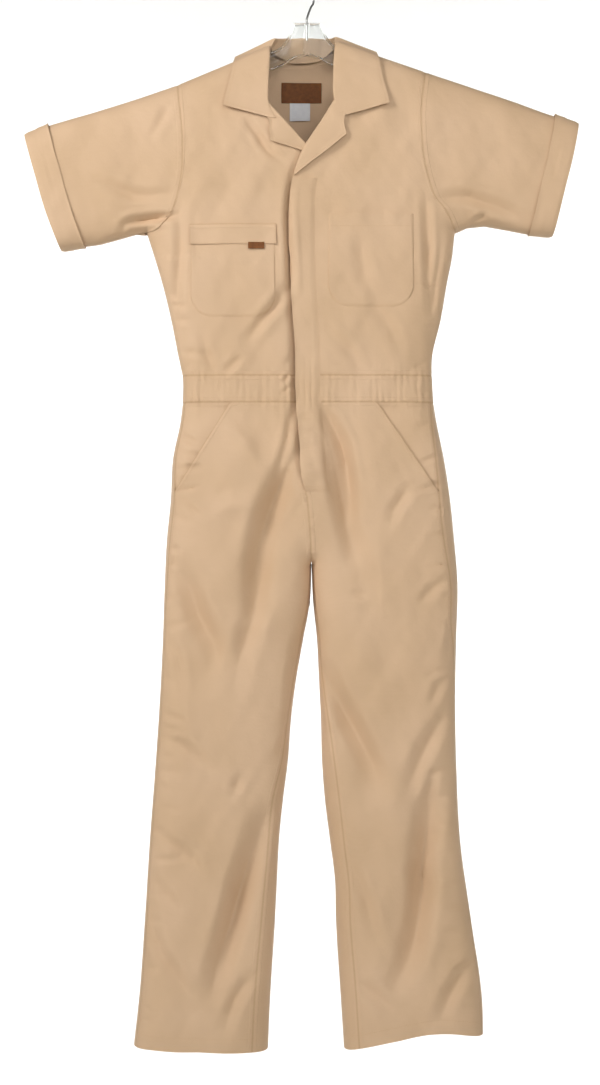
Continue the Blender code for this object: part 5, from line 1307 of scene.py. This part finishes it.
steel, tree, shader = new_material("zinc_plated_steel_drawn", Metallic=1.0)
shader.inputs["Base Color"].default_value = paint("#C4C4C2")
place = add(tree, "ShaderNodeTexCoord").outputs["Object"]
wear = add(tree, "ShaderNodeTexNoise", {"Vector": place, "Scale": 1 / 0.003, "Detail": 3.0})
dull = add(tree, "ShaderNodeMapRange", {"Value": wear.outputs["Fac"], "To Min": 0.18, "To Max": 0.42})
tree.links.new(dull.outputs["Result"], shader.inputs["Roughness"])

HOOK_RADIUS, HOOK_TURN = 0.0200, math.radians(55)
centre = WIRE_RADIUS - HOOK_RADIUS
bend = [(HOOK_RADIUS * math.cos(a), centre + HOOK_RADIUS * math.sin(a))
        for a in np.radians(np.linspace(-55, 195, 15))]
stem = [(0.0, HUB_TOP - HOOK_IN), (0.0, HUB_TOP), (0.0, HUB_TOP + 0.008)]
path = joined(spread(stem[:2], 8), curve([stem[1], stem[2]] + bend, 90))
wire = bpy.data.curves.new("steel_hook", "CURVE")
wire.dimensions = "3D"
wire.bevel_depth, wire.bevel_resolution, wire.use_fill_caps = WIRE_RADIUS, 6, True
spline = wire.splines.new("POLY")
spline.points.add(len(path) - 1)
for point, (out, up) in zip(spline.points, path):
    point.co = (out * math.cos(HOOK_TURN), out * math.sin(HOOK_TURN), up, 1)
wire.materials.append(steel)
hook = bpy.data.objects.new("steel_hook", wire)
bpy.context.scene.collection.objects.link(hook)
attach(hook, "root")
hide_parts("hook")

# ---------------------------------------------------------------- The sewing thread
# Core-spun polyester thread a shade deeper than the poplin, lockstitched in rows beside the seams
# and round every edge. Each stitch is a short round bead of thread sunk half into the cloth.

thread, tree, shader = new_material("corespun_polyester_thread", Roughness=0.5, Sheen_Weight=0.15)
place = add(tree, "ShaderNodeTexCoord").outputs["Object"]
twist = add(tree, "ShaderNodeTexNoise", {"Vector": place, "Scale": 1 / 0.0015})
threads = add(tree, "ShaderNodeMix", {"Factor": twist.outputs["Fac"], "A": paint("#BC9263"),
                                      "B": paint("#D2AA7C")}, data_type="RGBA")
tree.links.new(threads.outputs[2], shader.inputs["Base Color"])

STITCH_PITCH, STITCH_LENGTH, THREAD_WIDTH = 0.0030, 0.0024, 0.00050
BEAD = np.array([(-1, 0, 0), (1, 0, 0), (0, 1, 0), (0, -1, 0), (0, 0, 1), (0, 0, -1)], float)
BEAD_FACES = np.array([(0, 3, 4), (3, 1, 4), (1, 2, 4), (2, 0, 4),
                       (3, 0, 5), (1, 3, 5), (2, 1, 5), (0, 2, 5)])
for group, lines in runs.items():
    places, faces = [], []
    for line, outward in lines:
        reach = np.concatenate([[0], np.cumsum(np.linalg.norm(np.diff(line, axis=0), axis=1))])
        middles = np.arange(STITCH_PITCH / 2, reach[-1], STITCH_PITCH)
        for middle in middles:
            read = ((middle, line), (middle + 0.001, line), (middle, outward))
            here, ahead, out = (np.array([np.interp(at, reach, source[:, k]) for k in range(3)])
                                for at, source in read)
            along = ahead - here
            if np.linalg.norm(along) < 1e-7:
                continue
            along /= np.linalg.norm(along)
            out = out - along * np.dot(out, along)
            out /= max(np.linalg.norm(out), 1e-9)
            side_on = np.cross(out, along)
            scaled = BEAD * (STITCH_LENGTH / 2, THREAD_WIDTH / 2, THREAD_WIDTH / 2)
            bead = here + scaled @ np.stack([along, side_on, out])
            faces.append(BEAD_FACES + 6 * len(places))
            places.append(bead)
    mesh = bpy.data.meshes.new(f"topstitching_{group}")
    mesh.from_pydata(np.concatenate(places).tolist(), [], np.concatenate(faces).tolist())
    mesh.materials.append(thread)
    mesh.shade_smooth()
    stitched = bpy.data.objects.new(f"topstitching_{group}", mesh)
    bpy.context.scene.collection.objects.link(stitched)
    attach(stitched, "root")

# ---------------------------------------------------------------- The studio
# A round room of pale paper with a curved foot, a key light high on one side, softer lights beside the
# camera and behind, lamps that brighten the paper, and a camera square on to the middle of the suit.

paper, tree, shader = new_material("background_paper_matt", Roughness=0.95, Specular_IOR_Level=0.1)
shader.inputs["Base Color"].default_value = paint("#FAFAF8")
FLOOR_HEIGHT, ROOM_RADIUS, COVE = -2.70, 5.4, 1.3
cove = [(ROOM_RADIUS - COVE + COVE * math.sin(a), FLOOR_HEIGHT + COVE * (1 - math.cos(a)))
        for a in np.linspace(0, math.pi / 2, 16)]
profile = [(0.5, FLOOR_HEIGHT)] + cove + [(ROOM_RADIUS, 2.6)]
turns = np.linspace(0, 2 * math.pi, 64, endpoint=False)
count = len(profile)
mesh = bpy.data.meshes.new("paper_sweep")
places = [(0.0, 0.0, FLOOR_HEIGHT)]
places += [(r * math.cos(a), r * math.sin(a), z) for a in turns for r, z in profile]
starts = [1 + turn * count for turn in range(len(turns))]
faces = [(0, here, after) for here, after in zip(starts, starts[1:] + starts[:1])]
faces += [(here + k, here + k + 1, after + k + 1, after + k)
          for here, after in zip(starts, starts[1:] + starts[:1]) for k in range(count - 1)]
mesh.from_pydata(places, [], faces)
mesh.materials.append(paper)
mesh.shade_smooth()
backdrop = bpy.data.objects.new("paper_sweep", mesh)
bpy.context.scene.collection.objects.link(backdrop)


def soft_light(name, place, aimed_at, size, power):
    """A square area lamp at a place, turned to a point."""
    lamp = bpy.data.lights.new(name, "AREA")
    lamp.shape, lamp.size, lamp.energy = "SQUARE", size, power
    lit = bpy.data.objects.new(name, lamp)
    lit.location = place
    lit.rotation_euler = (Vector(aimed_at) - Vector(place)).to_track_quat("-Z", "Y").to_euler()
    bpy.context.scene.collection.objects.link(lit)


# Each lamp's name, its place, the point it is aimed at, its side in metres and its watts.
SOFT_LIGHTS = (
    ("key_softbox", (-2.1, -1.7, 0.8), (0, 0, -0.6), 0.8, 50),
    ("top_softbox", (0.9, -2.4, 0.9), (0, 0, -0.3), 1.2, 15),
    ("camera_softbox", (0.5, -3.7, 0.1), (0, 0, -0.2), 1.0, 20),
    ("back_softbox", (1.5, 3.0, 0.3), (0, 0, -0.8), 1.4, 18),
)
PAPER_WATTS = {FRONT: 10, BACK: 75}
WORLD_STRENGTH = 0.07
for lamp in SOFT_LIGHTS:
    soft_light(*lamp)
for across in (-2.7, 2.7):
    for toward, power in PAPER_WATTS.items():
        wall = (across * 0.3, toward * ROOM_RADIUS, -0.5)
        soft_light("paper_light", (across, toward * 3.2, 0.0), wall, 1.0, power)
world = bpy.data.worlds.new("studio")
world.use_nodes = True
world.node_tree.nodes["Background"].inputs["Color"].default_value = paint("#F4F4F2")
world.node_tree.nodes["Background"].inputs["Strength"].default_value = WORLD_STRENGTH
bpy.context.scene.world = world
bpy.context.scene.view_settings.view_transform = "Standard"

CAMERA_PLACE = (-0.0114, -3.3, -0.909)
FRAME_HALF_HEIGHT = 0.8843  # of what the frame takes in at the suit
lens = bpy.data.cameras.new("camera")
lens.sensor_fit, lens.sensor_height = "VERTICAL", 24.0
lens.lens = lens.sensor_height / 2 * -CAMERA_PLACE[1] / FRAME_HALF_HEIGHT
camera = bpy.data.objects.new("camera", lens)
camera.location = CAMERA_PLACE
camera.rotation_euler = (math.radians(90), 0, 0)
bpy.context.scene.collection.objects.link(camera)
bpy.context.scene.camera = camera
